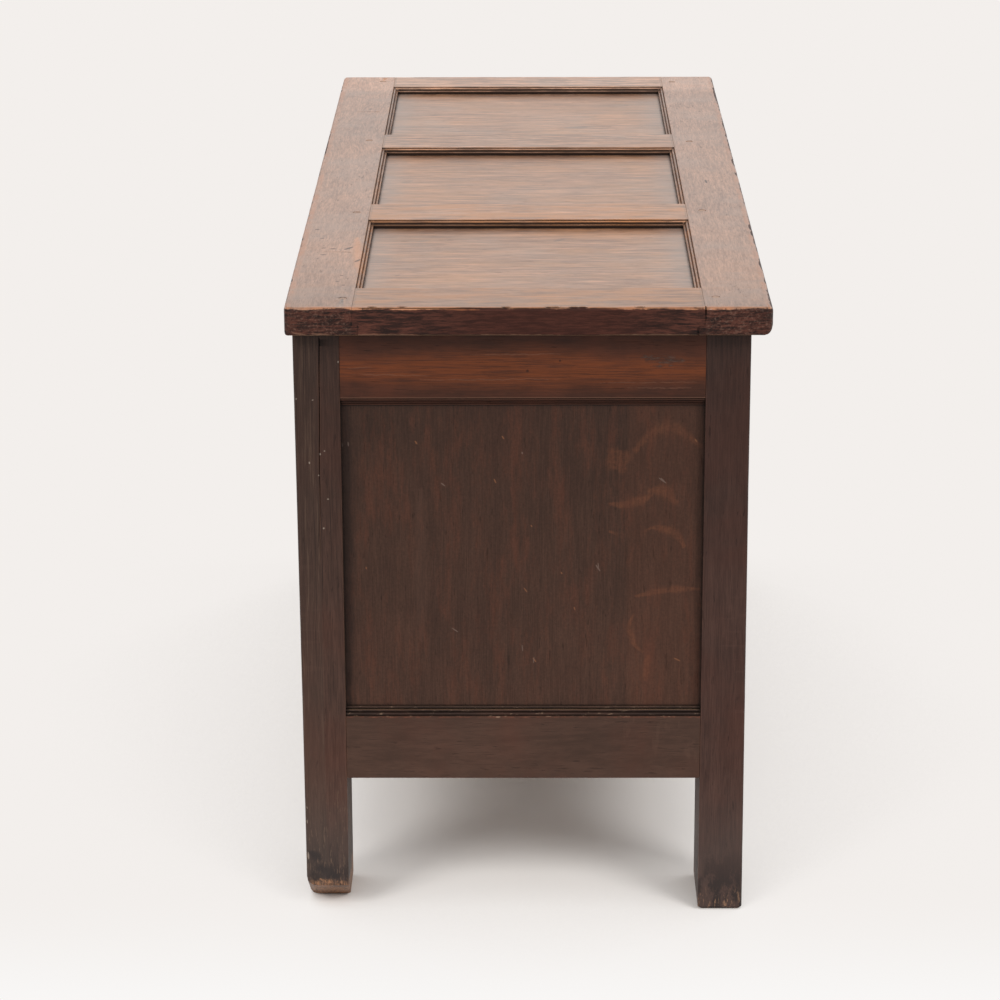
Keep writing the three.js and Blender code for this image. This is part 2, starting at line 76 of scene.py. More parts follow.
# The studio: a pale warm floor without a horizon, two broad soft lamps high on both sides of the
# camera, and even light from all round. Away from the chest the floor shows as the pale backdrop.
FLOOR_SIZE = 60.0
FLOOR_TONE = (243, 240, 237)
BACKDROP_FAR_TONE = (243, 239, 236)
BACKDROP_NEAR_TONE = (250, 249, 248)
BACKDROP_TURN = (-0.95, -0.55)
FLOOR_DROP = 0.0004
SHADE_REACH = 0.9
SHADE_RANGE = (0.17, 0.74)
AIR_TONE = (255, 253, 251)
AIR_LEVEL = 0.47
BACKDROP_LEVEL = 0.88
LAMP_TINT = (1.0, 0.985, 0.965)
LAMPS = {
    "left lamp": {"towards": (-0.95, 0.9, 1.0), "level": 0.25, "spread": 22},
    "right lamp": {"towards": (-0.95, -0.9, 1.0), "level": 0.26, "spread": 22},
}


def tone(red, green, blue):
    """A colour as read on a screen, 0 to 255, in the shader's own scale."""
    shares = (value / 255 for value in (red, green, blue))
    linear = [((share + 0.055) / 1.055) ** 2.4 if share > 0.04045 else share / 12.92 for share in shares]
    return (*linear, 1.0)


def fill(tree, sockets, values):
    """Joins the named sockets to other sockets, or sets them where a plain value is given."""
    for name, value in values.items():
        if isinstance(value, bpy.types.NodeSocket):
            tree.links.new(value, sockets[name])
        else:
            sockets[name].default_value = value


def put(tree, kind, inputs, **settings):
    """Puts one shader node in a tree, with its settings and inputs."""
    made = tree.nodes.new("ShaderNode" + kind)
    for name, value in settings.items():
        setattr(made, name, value)
    fill(tree, made.inputs, inputs)
    return made


def sum_of(tree, operation, first, second=0.0, third=0.0, clamp=False):
    """A Math node's result."""
    made = put(tree, "Math", {0: first, 1: second, 2: third}, operation=operation, use_clamp=clamp)
    return made.outputs[0]


def times(tree, first, second, plus=None, clamp=False):
    """Two values multiplied, and a third one added where it is given."""
    if plus is None:
        return sum_of(tree, "MULTIPLY", first, second)
    return sum_of(tree, "MULTIPLY_ADD", first, second, plus, clamp)


def spread(tree, value, low, high, to_low=0.0, to_high=1.0):
    """A value's range from low to high, eased and clamped, as another range."""
    limits = {"Value": value, "From Min": low, "From Max": high, "To Min": to_low, "To Max": to_high}
    return put(tree, "MapRange", limits, interpolation_type="SMOOTHSTEP").outputs["Result"]


def own_place(tree):
    """Where a point lies in its piece's own mesh, in metres."""
    return put(tree, "TexCoord", {}).outputs["Object"]


def parts_of(tree, place):
    """A place's three coordinates."""
    return put(tree, "SeparateXYZ", {0: place}).outputs


def seen_or_mirrored(tree):
    """One for what the camera sees, straight, in a gloss or through glass."""
    path = put(tree, "LightPath", {}).outputs
    mirrored = sum_of(tree, "MAXIMUM", path["Is Glossy Ray"], path["Is Transmission Ray"])
    return sum_of(tree, "MAXIMUM", path["Is Camera Ray"], mirrored)


def new_material(name):
    """A new material, its tree and its shader."""
    material = bpy.data.materials.new(name)
    material.use_nodes = True
    return material, material.node_tree, material.node_tree.nodes["Principled BSDF"]


for name, lamp in LAMPS.items():
    light = bpy.data.lights.new(name, "SUN")
    towards = Vector(lamp["towards"]).normalized()
    light.energy = lamp["level"] * math.pi / towards.z
    light.angle = math.radians(lamp["spread"])
    light.color = LAMP_TINT
    sun = bpy.data.objects.new(name, light)
    sun.rotation_euler = towards.to_track_quat("Z", "Y").to_euler()
    bpy.context.scene.collection.objects.link(sun)

bpy.ops.object.select_all(action="DESELECT")
bpy.ops.mesh.primitive_plane_add(size=FLOOR_SIZE, location=(0, 0, -FLOOR_DROP))
floor = bpy.context.object
floor.name = "studio_floor"
floor.data.transform(floor.matrix_world)
floor.matrix_world = Matrix.Identity(4)
floor_paint, tree, floor_shader = new_material("pale floor paint")
fill(tree, floor_shader.inputs,
     {"Base Color": tone(*FLOOR_TONE), "Roughness": 0.9, "Specular IOR Level": 0.1})
backdrop_tone = put(tree, "Mix", {
    0: spread(tree, parts_of(tree, own_place(tree))[0], *BACKDROP_TURN),
    6: tone(*BACKDROP_NEAR_TONE),
    7: tone(*BACKDROP_FAR_TONE),
}, data_type="RGBA").outputs[2]
backdrop = put(tree, "Emission", {"Color": backdrop_tone, "Strength": 1.0}).outputs[0]
open_air = put(tree, "AmbientOcclusion", {"Distance": SHADE_REACH}, samples=8).outputs["AO"]
away = times(tree, seen_or_mirrored(tree), spread(tree, open_air, *SHADE_RANGE))
floor_look = put(tree, "MixShader", {0: away, 1: floor_shader.outputs[0], 2: backdrop}).outputs[0]
tree.links.new(floor_look, tree.nodes["Material Output"].inputs["Surface"])
floor.data.materials.append(floor_paint)

world = bpy.data.worlds.new("studio air")
bpy.context.scene.world = world
world.use_nodes = True
tree = world.node_tree
tree.nodes.clear()
level = spread(tree, seen_or_mirrored(tree), 0.0, 1.0, AIR_LEVEL, BACKDROP_LEVEL)
glow = put(tree, "Background", {"Color": tone(*AIR_TONE), "Strength": level}).outputs[0]
tree.links.new(glow, tree.nodes.new("ShaderNodeOutputWorld").inputs[0])


# Stiles: four oak posts that run down as feet, riven and planed, mortised for the rails, stained
# dark and waxed for three centuries. Their arrises are rubbed and knocked, their feet worn bare.
CASE_DARK = (44, 29, 24)
CASE_PALE = (88, 64, 55)
CASE_RED = (84, 47, 36)
CASE_WORN = (104, 68, 50)
FOOT_BARE = (140, 108, 86)
FOOT_DAMP = (44, 38, 37)
FOOT_GREY = (68, 66, 64)
GRIME = (16, 11, 9)
INNER_DARK = (88, 66, 48)
INNER_PALE = (146, 118, 92)


def box_of(node):
    """A CAD node's box as its low and high corner, to the micrometre."""
    return [[round(value, 6) for value in corner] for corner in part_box(node)]


STILES = ("stile_front_left", "stile_front_right", "stile_rear_left", "stile_rear_right")
front, rear = box_of("stile_front_left"), box_of("stile_rear_left")
STILE_TOP = rear[1][2]
EDGE_X, EDGE_FRONT, EDGE_REAR = -rear[0][0], front[0][1], rear[1][1]
STILE_INNER_X, STILE_INNER_FRONT, STILE_INNER_REAR = -rear[1][0], front[1][1], rear[0][1]
STILE_PEGS = [(0.524, 0.623), (0.523, 0.197)]
END_PLANE = (0, -EDGE_X)


def blended(tree, factor, under, over):
    """Two colours mixed by a factor."""
    return put(tree, "Mix", {0: factor, 6: under, 7: over}, data_type="RGBA").outputs[2]


def painted(tree, colour, paint, mask, strength=None):
    """A colour with one paint laid over it where the mask is."""
    if strength is not None:
        mask = times(tree, mask, strength)
    return blended(tree, mask, colour, tone(*paint))


def vector_of(tree, operation, first, second, gives="Vector"):
    """A Vector Math node's result."""
    return put(tree, "VectorMath", {0: first, 1: second}, operation=operation).outputs[gives]


def scaled(tree, vector, amount):
    """A place or a colour scaled by one amount."""
    return put(tree, "VectorMath", {0: vector, "Scale": amount}, operation="SCALE").outputs[0]


def clouds(tree, place, scale, detail, roughness):
    """Noise of one size all ways."""
    inputs = {"Vector": place, "Scale": scale, "Detail": detail, "Roughness": roughness}
    return put(tree, "TexNoise", inputs).outputs["Fac"]


def streaks(tree, place, stretch, detail=3.0, roughness=0.6):
    """Noise drawn out along a board: stretch gives the features per metre along, across, through."""
    return clouds(tree, vector_of(tree, "MULTIPLY", place, stretch), 1.0, detail, roughness)


def new_group(name, takes, gives):
    """An empty shader group with named inputs and outputs."""
    group = bpy.data.node_groups.new(name, "ShaderNodeTree")
    for label, kind, value in takes:
        socket = group.interface.new_socket(name=label, in_out="INPUT", socket_type="NodeSocket" + kind)
        if value is not None:
            socket.default_value = value
    for label, kind in gives:
        group.interface.new_socket(name=label, in_out="OUTPUT", socket_type="NodeSocket" + kind)
    return group, group.nodes.new("NodeGroupInput").outputs, group.nodes.new("NodeGroupOutput").inputs


def placed(tree, group, inputs):
    """Places a shader group in a tree and gives its outputs."""
    cell = tree.nodes.new("ShaderNodeGroup")
    cell.node_tree = group
    fill(tree, cell.inputs, inputs)
    return cell.outputs


# Oak figure: growth rings round the pith, open pores and ray flecks. It takes a place along the
# board and across and through it from the pith, so the rings run as lines on the faces of a board
# and as arcs on its ends.
figure, taken, given = new_group(
    "oak figure",
    [("Place", "Vector", None), ("Fleck", "Float", 0.3)],
    [("Lines", "Float"), ("Bands", "Float"), ("Pores", "Float"), ("Fleck", "Float"), ("Fibre", "Float")],
)
wander = vector_of(figure, "MULTIPLY", taken["Place"], (1.3, 4.0, 4.0))
wander = put(figure, "TexNoise", {"Vector": wander, "Scale": 1.0, "Detail": 2.0}).outputs["Color"]
wander = vector_of(figure, "SUBTRACT", wander, (0.5, 0.5, 0.5))
wander = vector_of(figure, "MULTIPLY", wander, (0.0, 0.022, 0.022))
grown = vector_of(figure, "ADD", taken["Place"], wander)
parts = parts_of(figure, grown)
in_section = vector_of(figure, "MULTIPLY", grown, (0.0, 1.0, 1.0))
from_pith = put(figure, "VectorMath", {0: in_section}, operation="LENGTH").outputs["Value"]
turn = sum_of(figure, "ARCTAN2", parts[2], parts[1])
rings = put(figure, "CombineXYZ", {0: parts[0], 1: from_pith, 2: turn}).outputs[0]
fine = streaks(figure, rings, (28.0, 700.0, 14.0), 3.0, 0.68)
broad = streaks(figure, rings, (20.0, 250.0, 10.0), 5.0, 0.72)
lines = times(figure, sum_of(figure, "ADD", fine, broad), 0.5)
bands = streaks(figure, rings, (2.6, 60.0, 4.0), 4.0, 0.62)
fibre = streaks(figure, grown, (26.0, 1500.0, 1500.0), 2.0, 0.6)
pore_noise = streaks(figure, grown, (48.0, 1000.0, 1000.0), 1.0, 0.5)
pore_rows = spread(figure, lines, 0.42, 0.6)
pores = times(figure, spread(figure, pore_noise, 0.58, 0.7), pore_rows)
dash_noise = streaks(figure, grown, (46.0, 260.0, 260.0), 2.0, 0.5)
pores = sum_of(figure, "MAXIMUM", pores, spread(figure, dash_noise, 0.66, 0.74))
fleck_noise = streaks(figure, grown, (120.0, 17.0, 40.0), 2.0, 0.55)
fleck_patch = streaks(figure, grown, (3.5, 9.0, 9.0), 1.0, 0.5)
flecks = spread(figure, fleck_noise, 0.56, 0.66)
flecks = times(figure, flecks, spread(figure, fleck_patch, 0.5, 0.62))
fill(figure, given, {
    "Lines": spread(figure, lines, 0.36, 0.64),
    "Bands": spread(figure, bands, 0.3, 0.7),
    "Pores": pores,
    "Fleck": times(figure, flecks, taken["Fleck"]),
    "Fibre": spread(figure, fibre, 0.3, 0.7),
})

# Handling: arrises rubbed through to paler wood, dirt in the corners and grime in the grooves.
handling, taken, given = new_group(
    "handling",
    [("Place", "Vector", None), ("Wear Reach", "Float", 0.0014), ("Dirt Reach", "Float", 0.014),
     ("Groove Reach", "Float", 0.004)],
    [("Wear", "Float"), ("Dirt", "Float"), ("Grime", "Float"), ("Patches", "Float")],
)
rubbed = put(handling, "AmbientOcclusion", {"Distance": taken["Wear Reach"]}, samples=6, inside=True,
             only_local=True)
corner = put(handling, "AmbientOcclusion", {"Distance": taken["Dirt Reach"]}, samples=6)
groove = put(handling, "AmbientOcclusion", {"Distance": taken["Groove Reach"]}, samples=6)
rubbed, corner, groove = (sum_of(handling, "SUBTRACT", 1.0, open_to.outputs["AO"])
                          for open_to in (rubbed, corner, groove))
patches = spread(handling, clouds(handling, taken["Place"], 48.0, 5.0, 0.7), 0.36, 0.6)
dirt = times(handling, corner, times(handling, patches, 0.5, 0.7))
fill(handling, given, {
    "Wear": times(handling, spread(handling, rubbed, 0.12, 0.5), patches),
    "Dirt": spread(handling, dirt, 0.1, 0.7),
    "Grime": spread(handling, groove, 0.1, 0.42),
    "Patches": patches,
})

# Stroke: one soft mark along a bowed line, for scratches, ray flecks, smudges and stains.
stroke, taken, given = new_group(
    "stroke",
    [("Place", "Vector", None), ("From", "Vector", None), ("Run", "Vector", None),
     ("Bow", "Vector", None), ("Width", "Float", 0.002)],
    [("Mask", "Float")],
)
run = taken["Run"]
reach = vector_of(stroke, "SUBTRACT", taken["Place"], taken["From"])
along = vector_of(stroke, "DOT_PRODUCT", reach, run, "Value")
share = sum_of(stroke, "DIVIDE", along, vector_of(stroke, "DOT_PRODUCT", run, run, "Value"), clamp=True)
swell = times(stroke, sum_of(stroke, "SUBTRACT", 1.0, share), times(stroke, share, 4.0))
nearest = vector_of(stroke, "ADD", scaled(stroke, run, share), scaled(stroke, taken["Bow"], swell))
away = vector_of(stroke, "DISTANCE", reach, nearest, "Value")
width = times(stroke, taken["Width"], times(stroke, swell, 0.6, 0.4))
mask = spread(stroke, sum_of(stroke, "DIVIDE", away, width), 0.15, 1.0, 1.0, 0.0)
fill(stroke, given, {"Mask": mask})


def marks_on(tree, place, plane, marks):
    """One mask of all the marks on a face. Its plane is an axis and a level, and a mark is a reach in
    mm, its two ends in the picture's pixels and, where it bows, its middle."""
    mask = None
    for width, first, last, *middle in marks:
        start = seen_at(*first, *plane)
        run = seen_at(*last, *plane) - start
        bow = seen_at(*middle[0], *plane) - start - run / 2 if middle else Vector()
        inputs = {"Place": place, "From": start, "Run": run, "Bow": bow, "Width": width / 1000}
        one = placed(tree, stroke, inputs)["Mask"]
        mask = one if mask is None else sum_of(tree, "MAXIMUM", mask, one)
    return mask


def marked(tree, colour, paint, strength, place, plane, marks):
    """Lays one paint over a colour along a face's marks."""
    if not marks:
        return colour
    return painted(tree, colour, paint, marks_on(tree, place, plane, marks), strength)


def shaken(tree, place, scale, amount):
    """A place shaken by noise, so that a mark's edge comes out ragged."""
    noisy = put(tree, "TexNoise", {"Vector": place, "Scale": scale, "Detail": 3.0}).outputs["Color"]
    noisy = vector_of(tree, "SUBTRACT", noisy, (0.5, 0.5, 0.5))
    return vector_of(tree, "ADD", place, scaled(tree, noisy, amount))


def shaded_and_scrubbed(tree, look, colour):
    """Painted shade darker under the lid, painted floor light paler towards the foot, bare chips low down.
    """
    body = look["body"]
    height = parts_of(tree, body)[2]
    # Painted shade and light: darker towards the top under the lid, paler towards the floor.
    colour = scaled(tree, colour, spread(tree, height, 0.0, 0.66, 1.12, 0.62))
    stain = spread(tree, streaks(tree, body, (60.0, 60.0, 32.0), 5.0, 0.72), 0.4, 0.55)
    colour = painted(tree, colour, FOOT_GREY, spread(tree, height, 0.05, 0.18, 0.4, 0.0))
    colour = painted(tree, colour, FOOT_DAMP, spread(tree, height, 0.02, 0.09, 0.85, 0.0), stain)
    chips = spread(tree, streaks(tree, body, (330.0, 330.0, 70.0), 4.0, 0.75), 0.53, 0.66)
    return painted(tree, colour, FOOT_BARE, chips, spread(tree, height, 0.007, 0.034, 0.95, 0.0))


def waxed_oak(name, pale, dark, worn, tinge=CASE_RED, tinge_share=0.5, wear=0.5, dirt=0.75, grime=0.9,
              rough=0.46, shine=0.16, fleck=0.12, contrast=1.0, banding=0.4, cloudy=0.18, open_pores=0.4,
              dirt_reach=0.014, wax=0.0, history=shaded_and_scrubbed):
    """Oak under old stain and wax, its figure following the board's own grain."""
    material, tree, shader = new_material(name)
    place = put(tree, "Attribute", {}, attribute_name="grain").outputs["Vector"]
    body = own_place(tree)
    cell = placed(tree, figure, {"Place": place, "Fleck": fleck})
    hand = placed(tree, handling, {"Place": body, "Dirt Reach": dirt_reach})
    cloud = clouds(tree, body, 6.0, 5.0, 0.62)
    mix = times(tree, cell["Lines"], 0.5 * contrast, 0.5 - 0.25 * contrast)
    mix = times(tree, cell["Bands"], banding * contrast, mix)
    mix = sum_of(tree, "SUBTRACT", mix, banding / 2 * contrast)
    mix = sum_of(tree, "ADD", mix, spread(tree, cloud, 0.3, 0.7, -cloudy, cloudy), clamp=True)
    colour = blended(tree, mix, tone(*dark), tone(*pale))
    tinged = spread(tree, clouds(tree, place, 9.0, 4.0, 0.6), 0.42, 0.68, 0.0, tinge_share)
    colour = painted(tree, colour, tinge, tinged)
    colour = painted(tree, colour, [min(255, value * 1.2 + 4) for value in pale], cell["Fleck"])
    colour = painted(tree, colour, [value * 0.5 for value in dark], cell["Pores"], open_pores)
    colour = painted(tree, colour, worn, hand["Wear"], wear)
    look = {"body": body, "place": place, "lines": cell["Lines"], "patches": hand["Patches"],
            "dull": hand["Grime"]}
    colour = history(tree, look, colour)
    off_floor = spread(tree, parts_of(tree, body)[2], 0.004, 0.03)
    dirty = times(tree, hand["Dirt"], dirt)
    colour = painted(tree, colour, [value * 0.4 for value in dark], dirty, off_floor)
    colour = painted(tree, colour, GRIME, times(tree, hand["Grime"], grime), off_floor)
    gloss = times(tree, cloud, 0.3, rough - 0.15)
    gloss = times(tree, cell["Pores"], 0.2, gloss)
    gloss = times(tree, hand["Dirt"], 0.25, gloss, clamp=True)
    relief = times(tree, cell["Lines"], 0.35, times(tree, cloud, 1.2))
    relief = times(tree, cell["Pores"], -0.6, relief)
    relief = times(tree, cell["Fibre"], 0.12, relief)
    bump = put(tree, "Bump", {"Height": relief, "Strength": 0.5, "Distance": 0.0005}).outputs[0]
    skin = {"Base Color": colour, "Roughness": gloss, "Normal": bump, "Specular IOR Level": shine}
    if wax:
        polish = times(tree, sum_of(tree, "SUBTRACT", 1.0, look["dull"], clamp=True), wax)
        skin |= {"Coat Weight": polish, "Coat Roughness": 0.3, "Coat IOR": 1.55}
    fill(tree, shader.inputs, skin)
    return material


def untouched(tree, look, colour):
    """Wood that nothing has happened to."""
    return colour


case_oak = waxed_oak("dark waxed oak", CASE_PALE, CASE_DARK, CASE_WORN, tinge_share=0.35)
inner_oak = waxed_oak("dry inner oak", INNER_PALE, INNER_DARK, INNER_PALE, tinge=(120, 86, 58), wear=0.2,
                      dirt=0.7, rough=0.75, shine=0.15, fleck=0.35, history=untouched)


def centre(board):
    """The middle of a board's own box."""
    corners = [Vector(corner) for corner in board.bound_box]
    return sum(corners, Vector()) / 8


def picked(*boards):
    """Selects some pieces and nothing else, the first of them active."""
    bpy.ops.object.select_all(action="DESELECT")
    for board in boards:
        board.select_set(True)
    bpy.context.view_layer.objects.active = boards[0]


def edges_picked(board, wanted):
    """Goes into edit mode with the wanted edges selected."""
    bpy.ops.object.mode_set(mode="EDIT")
    bpy.ops.mesh.select_mode(type="EDGE")
    shape = bmesh.from_edit_mesh(board.data)
    for edge in shape.edges:
        edge.select = wanted(edge)
    bmesh.update_edit_mesh(board.data)


def let_go():
    """Deselects all and leaves edit mode."""
    bpy.ops.mesh.select_all(action="DESELECT")
    bpy.ops.object.mode_set(mode="OBJECT")


WELD = 0.00001
FLAT_TURN = math.radians(0.6)


def flattened(board):
    """Welds a CAD board's loose triangles and dissolves its flat faces back to single faces."""
    picked(board)
    bpy.ops.object.mode_set(mode="EDIT")
    bpy.ops.mesh.select_all(action="SELECT")
    bpy.ops.mesh.remove_doubles(threshold=WELD)
    bpy.ops.mesh.dissolve_limited(angle_limit=FLAT_TURN)
    let_go()


SHARP_TURN = math.radians(60)
LONG_EDGE = 0.012
WIDE_FACE = 0.0026


def eased(board, width):
    """Takes off the sharp long arrises of a board, but not the fine edges of its moulding."""

    def is_arris(edge):
        if not edge.is_convex or edge.calc_length() < LONG_EDGE or len(edge.link_faces) != 2:
            return False
        if edge.calc_face_angle() < SHARP_TURN:
            return False
        start = edge.verts[0].co
        way = (edge.verts[1].co - start).normalized()
        reach = [max((vert.co - start).cross(way).length for vert in face.verts)
                 for face in edge.link_faces]
        return min(reach) > WIDE_FACE

    edges_picked(board, is_arris)
    bpy.ops.mesh.bevel(offset=width, segments=2, profile=0.55, affect="EDGES", clamp_overlap=True)
    let_go()


def rough(*place):
    """Even noise between minus one and one at a place."""
    return noise.noise(Vector(place))


ON_FACE = 0.00015


def knocked(board, along, corner, reach, depth, seed, pitch=0.009):
    """Wears one outer arris unevenly. It runs along an axis through a corner given on the two others."""
    across = [axis for axis in range(3) if axis != along]

    def near(point):
        return all(abs(point[axis] - place) < reach for axis, place in zip(across, corner))

    runs = []

    def is_worn(edge):
        first, second = (vert.co for vert in edge.verts)
        run = abs(first[along] - second[along])
        worn = near(first) and near(second) and run > pitch * 1.5
        if worn:
            runs.append(run)
        return worn

    edges_picked(board, is_worn)
    if runs:
        bpy.ops.mesh.subdivide(number_cuts=int(max(runs) / pitch), ngon=True)
    let_go()
    if not runs:
        return
    middle = centre(board)
    sides = [1 if place > middle[axis] else -1 for axis, place in zip(across, corner)]
    for vert in board.data.vertices:
        if not near(vert.co):
            continue
        run = vert.co[along]
        worn = max(0.0, 0.45 + rough(run * 38, seed, 0) + 0.7 * rough(run * 9, seed + 7, 0)) * depth
        chip = max(0.0, rough(run * 70, seed + 3, 0) - 0.28) * depth * 3
        amount = (worn + chip) * 0.5
        for axis, place, side in zip(across, corner, sides):
            other = across[1] if axis == across[0] else across[0]
            flush = abs(vert.co[other] - corner[across.index(other)]) < ON_FACE
            if abs(vert.co[axis] - place) >= ON_FACE:
                fade = 1 - abs(vert.co[axis] - place) / reach
                vert.co[axis] -= side * amount * (1.0 if flush else 0.6 * fade)


def grained(board, along, seed, pith=(-0.24, -0.07), hurry=1.0):
    """Writes along, across, through from the pith on a board's points, shifted so that no two match."""
    order = {0: (0, 1, 2), 1: (1, 0, 2), 2: (2, 1, 0)}[along]
    middle = centre(board)
    layer = board.data.attributes.new("grain", "FLOAT_VECTOR", "POINT")
    for vert, value in zip(board.data.vertices, layer.data):
        run, across, through = (vert.co[axis] - middle[axis] for axis in order)
        value.vector = (run * hurry + seed * 3.7, across - pith[0], through - pith[1])


def combined(board, other, operation):
    """Cuts a shape out of a board or fills it in, and drops the shape."""
    change = board.modifiers.new("change", "BOOLEAN")
    change.operation = operation
    change.solver = "EXACT"
    change.use_self = operation == "DIFFERENCE"
    change.object = other
    picked(board)
    bpy.ops.object.modifier_apply(modifier=change.name)
    bpy.data.objects.remove(other)


def joined(pieces, name):
    """Joins several meshes as one, its place in its mesh."""
    picked(*pieces)
    if len(pieces) > 1:
        bpy.ops.object.join()
    whole = bpy.context.object
    whole.name = name
    bpy.ops.object.transform_apply(location=True, rotation=True, scale=True)
    return whole


def block(middle, size, name):
    """A block to cut away or fill in with."""
    bpy.ops.object.select_all(action="DESELECT")
    bpy.ops.mesh.primitive_cube_add(size=1, location=middle, scale=size)
    return joined([bpy.context.object], name)


def dowel(place, axis, radius, length, sides=20):
    """A short round bar through a place, along an axis."""
    turned = {0: (0, math.pi / 2, 0), 1: (math.pi / 2, 0, 0), 2: (0, 0, 0)}[axis]
    bpy.ops.mesh.primitive_cylinder_add(vertices=sides, radius=radius, depth=length, location=place,
                                        rotation=turned)
    return bpy.context.object


PEG = 0.0041
PEG_GAP = 0.00012
PEG_DEPTH = 0.0022
PEG_SUNK = 0.00012
PEG_BEVEL = 0.0002
PEG_ROUGHNESS = 0.07


def pegged(board, places, axis, outward, seed, body, finish, gap=PEG_GAP):
    """Drawbore pegs cut off flush: round holes in a board's face, and whittled pegs driven into them."""
    bpy.ops.object.select_all(action="DESELECT")
    holes = [dowel(place, axis, PEG + gap, 2 * PEG_DEPTH) for place in places]
    combined(board, joined(holes, "holes"), "DIFFERENCE")
    pegs = []
    for number, place in enumerate(places):
        middle = Vector(place)
        middle[axis] -= outward * (PEG_SUNK + PEG_DEPTH / 2)
        peg = dowel(middle, axis, PEG, PEG_DEPTH, 16)
        for vert in peg.data.vertices:
            side = rough(round(vert.co.x, 4) * 400, round(vert.co.y, 4) * 400, seed * 3 + number)
            vert.co.x *= 1 + PEG_ROUGHNESS * side
            vert.co.y *= 1 + PEG_ROUGHNESS * side
        bpy.ops.object.mode_set(mode="EDIT")
        bpy.ops.mesh.bevel(offset=PEG_BEVEL, segments=1, affect="EDGES")
        bpy.ops.object.mode_set(mode="OBJECT")
        pegs.append(peg)
    whole = joined(pegs, board.name.replace("_oak", "_pegs"))
    whole.data.materials.clear()
    whole.data.materials.append(finish)
    grained(whole, axis, seed + 300, (-0.03, -0.02))
    bpy.ops.object.shade_smooth_by_angle(angle=math.radians(40))
    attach(whole, body)


CRACK_STEPS = 28
CRACK_DRIFT = 0.0016


def cracked(board, along, start, end, sink_axis, width, depth, seed):
    """A shake that opens along the grain: a thin ragged wedge cut out between two points of a face."""
    start, end = Vector(start), Vector(end)
    size = [width] * 3
    size[along] = abs(end[along] - start[along])
    size[sink_axis] = 2 * depth
    blade = block((start + end) / 2, size, "blade")

    def runs_along(edge):
        first, second = (vert.co for vert in edge.verts)
        return abs(first[along] - second[along]) > WELD

    edges_picked(blade, runs_along)
    bpy.ops.mesh.subdivide(number_cuts=CRACK_STEPS)
    bpy.ops.object.mode_set(mode="OBJECT")
    side_axis = 3 - along - sink_axis
    middle = (start + end)[side_axis] / 2
    for vert in blade.data.vertices:
        run = vert.co[along]
        share = (run - start[along]) / (end[along] - start[along])
        taper = 1 - 0.85 * share ** 2
        drift = rough(run * 22, seed, 0) * CRACK_DRIFT
        drift += rough(run * 90, seed + 5, 0) * CRACK_DRIFT / 4
        lean = start[side_axis] + (end[side_axis] - start[side_axis]) * share
        vert.co[side_axis] = lean + drift + (vert.co[side_axis] - middle) * taper
    combined(board, blade, "DIFFERENCE")


BROAD_FACE = 0.0003
ROUND_TURN = math.radians(32)


def finished(board, node, body):
    """Smooths a board's rounds, keeps its broad faces flat, and puts it in place of its CAD node."""
    picked(board)
    bpy.ops.object.shade_smooth_by_angle(angle=ROUND_TURN)
    for face in board.data.polygons:
        if face.area > BROAD_FACE:
            face.use_smooth = False
    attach(board, body)
    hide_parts(node)


FLOOR_HEIGHT = box_of("left_end_bottom_rail")[0][2]
INSIDE_LOW, INSIDE_HIGH = (-0.598, -0.2295, 0.16), (0.598, 0.2415, 0.672)
INSIDE_MIDDLE_Y = 0.006


def inner_faces(board):
    """Gives the faces that look into the chest the dry oak, which is the board's second material."""
    picked(board)
    bpy.ops.object.mode_set(mode="EDIT")
    bpy.ops.mesh.select_all(action="SELECT")
    bpy.ops.mesh.bisect(plane_co=(0, 0, FLOOR_HEIGHT), plane_no=(0, 0, 1))
    let_go()
    for face in board.data.polygons:
        middle, normal = face.center, face.normal
        inside = all(low < place < high for low, place, high in zip(INSIDE_LOW, middle, INSIDE_HIGH))
        looks_in = (normal.x * middle.x < -1e-6 and abs(normal.x) > 0.7) or (
            normal.y * (middle.y - INSIDE_MIDDLE_Y) < -1e-6 and abs(normal.y) > 0.7)
        if inside and (looks_in or abs(normal.z) > 0.7):
            face.material_index = 1


def copied(node, ending, *finishes):
    """A piece as a copy of its CAD node, with its own finishes."""
    piece = bpy.data.objects.new(node + ending, nodes[node].data.copy())
    bpy.context.scene.collection.objects.link(piece)
    piece.data.materials.clear()
    for finish in finishes:
        piece.data.materials.append(finish)
    return piece


def board_from(node, ease, finish):
    """A board as a copy of its CAD node, with its long arrises eased."""
    board = copied(node, "_oak", finish, inner_oak)
    flattened(board)
    eased(board, ease)
    return board


LEAN_BAND = 0.006


def leaning(board, face, top, foot, turn_height):
    """Lets a stile's outer face stand out by a little at its top and foot, as a warped post does."""
    for vert in board.data.vertices:
        if abs(vert.co.y - face) < LEAN_BAND:
            rise = max(0, vert.co.z - turn_height) / (STILE_TOP - turn_height)
            drop = max(0, turn_height - vert.co.z) / turn_height
            vert.co.y += top * rise + foot * drop


# The rear stile at the left end is the most weathered: greyed and streaked outside its long shake.
SHAKE_TOP, SHAKE_FOOT = (319, 338), (320, 562)
STILE_NICKS = [
    (1.5, (296, 398.6), (296.3, 399.4)), (1.5, (312.5, 399.6), (312.8, 400.4)),
    (1.6, (320, 453), (320, 455)), (1.4, (324.6, 450.6), (324.6, 451.6)),
    (1.5, (309, 462), (309.4, 464)), (1.3, (319, 475), (319, 476)), (1.6, (328, 498.5), (328, 499.5)),
    (1.6, (323.7, 527.5), (323.7, 529)), (1.4, (342.6, 508.4), (343, 509.4)),
    (1.0, (338, 361), (338, 363)), (1.4, (306, 806), (307, 809)), (1.4, (306, 835), (307, 842)),
    (1.6, (307.6, 852), (308.6, 859)), (1.2, (307, 820), (307.4, 824)),
]
OUTER_STRIP = (0.221, 0.2235)
TOE_STAINS = [(13, (319, 868), (337, 876)), (9, (310, 852), (320, 859))]
TOE_BARE = [(4, (320, 879), (334, 884)), (4, (340, 882), (348, 884))]


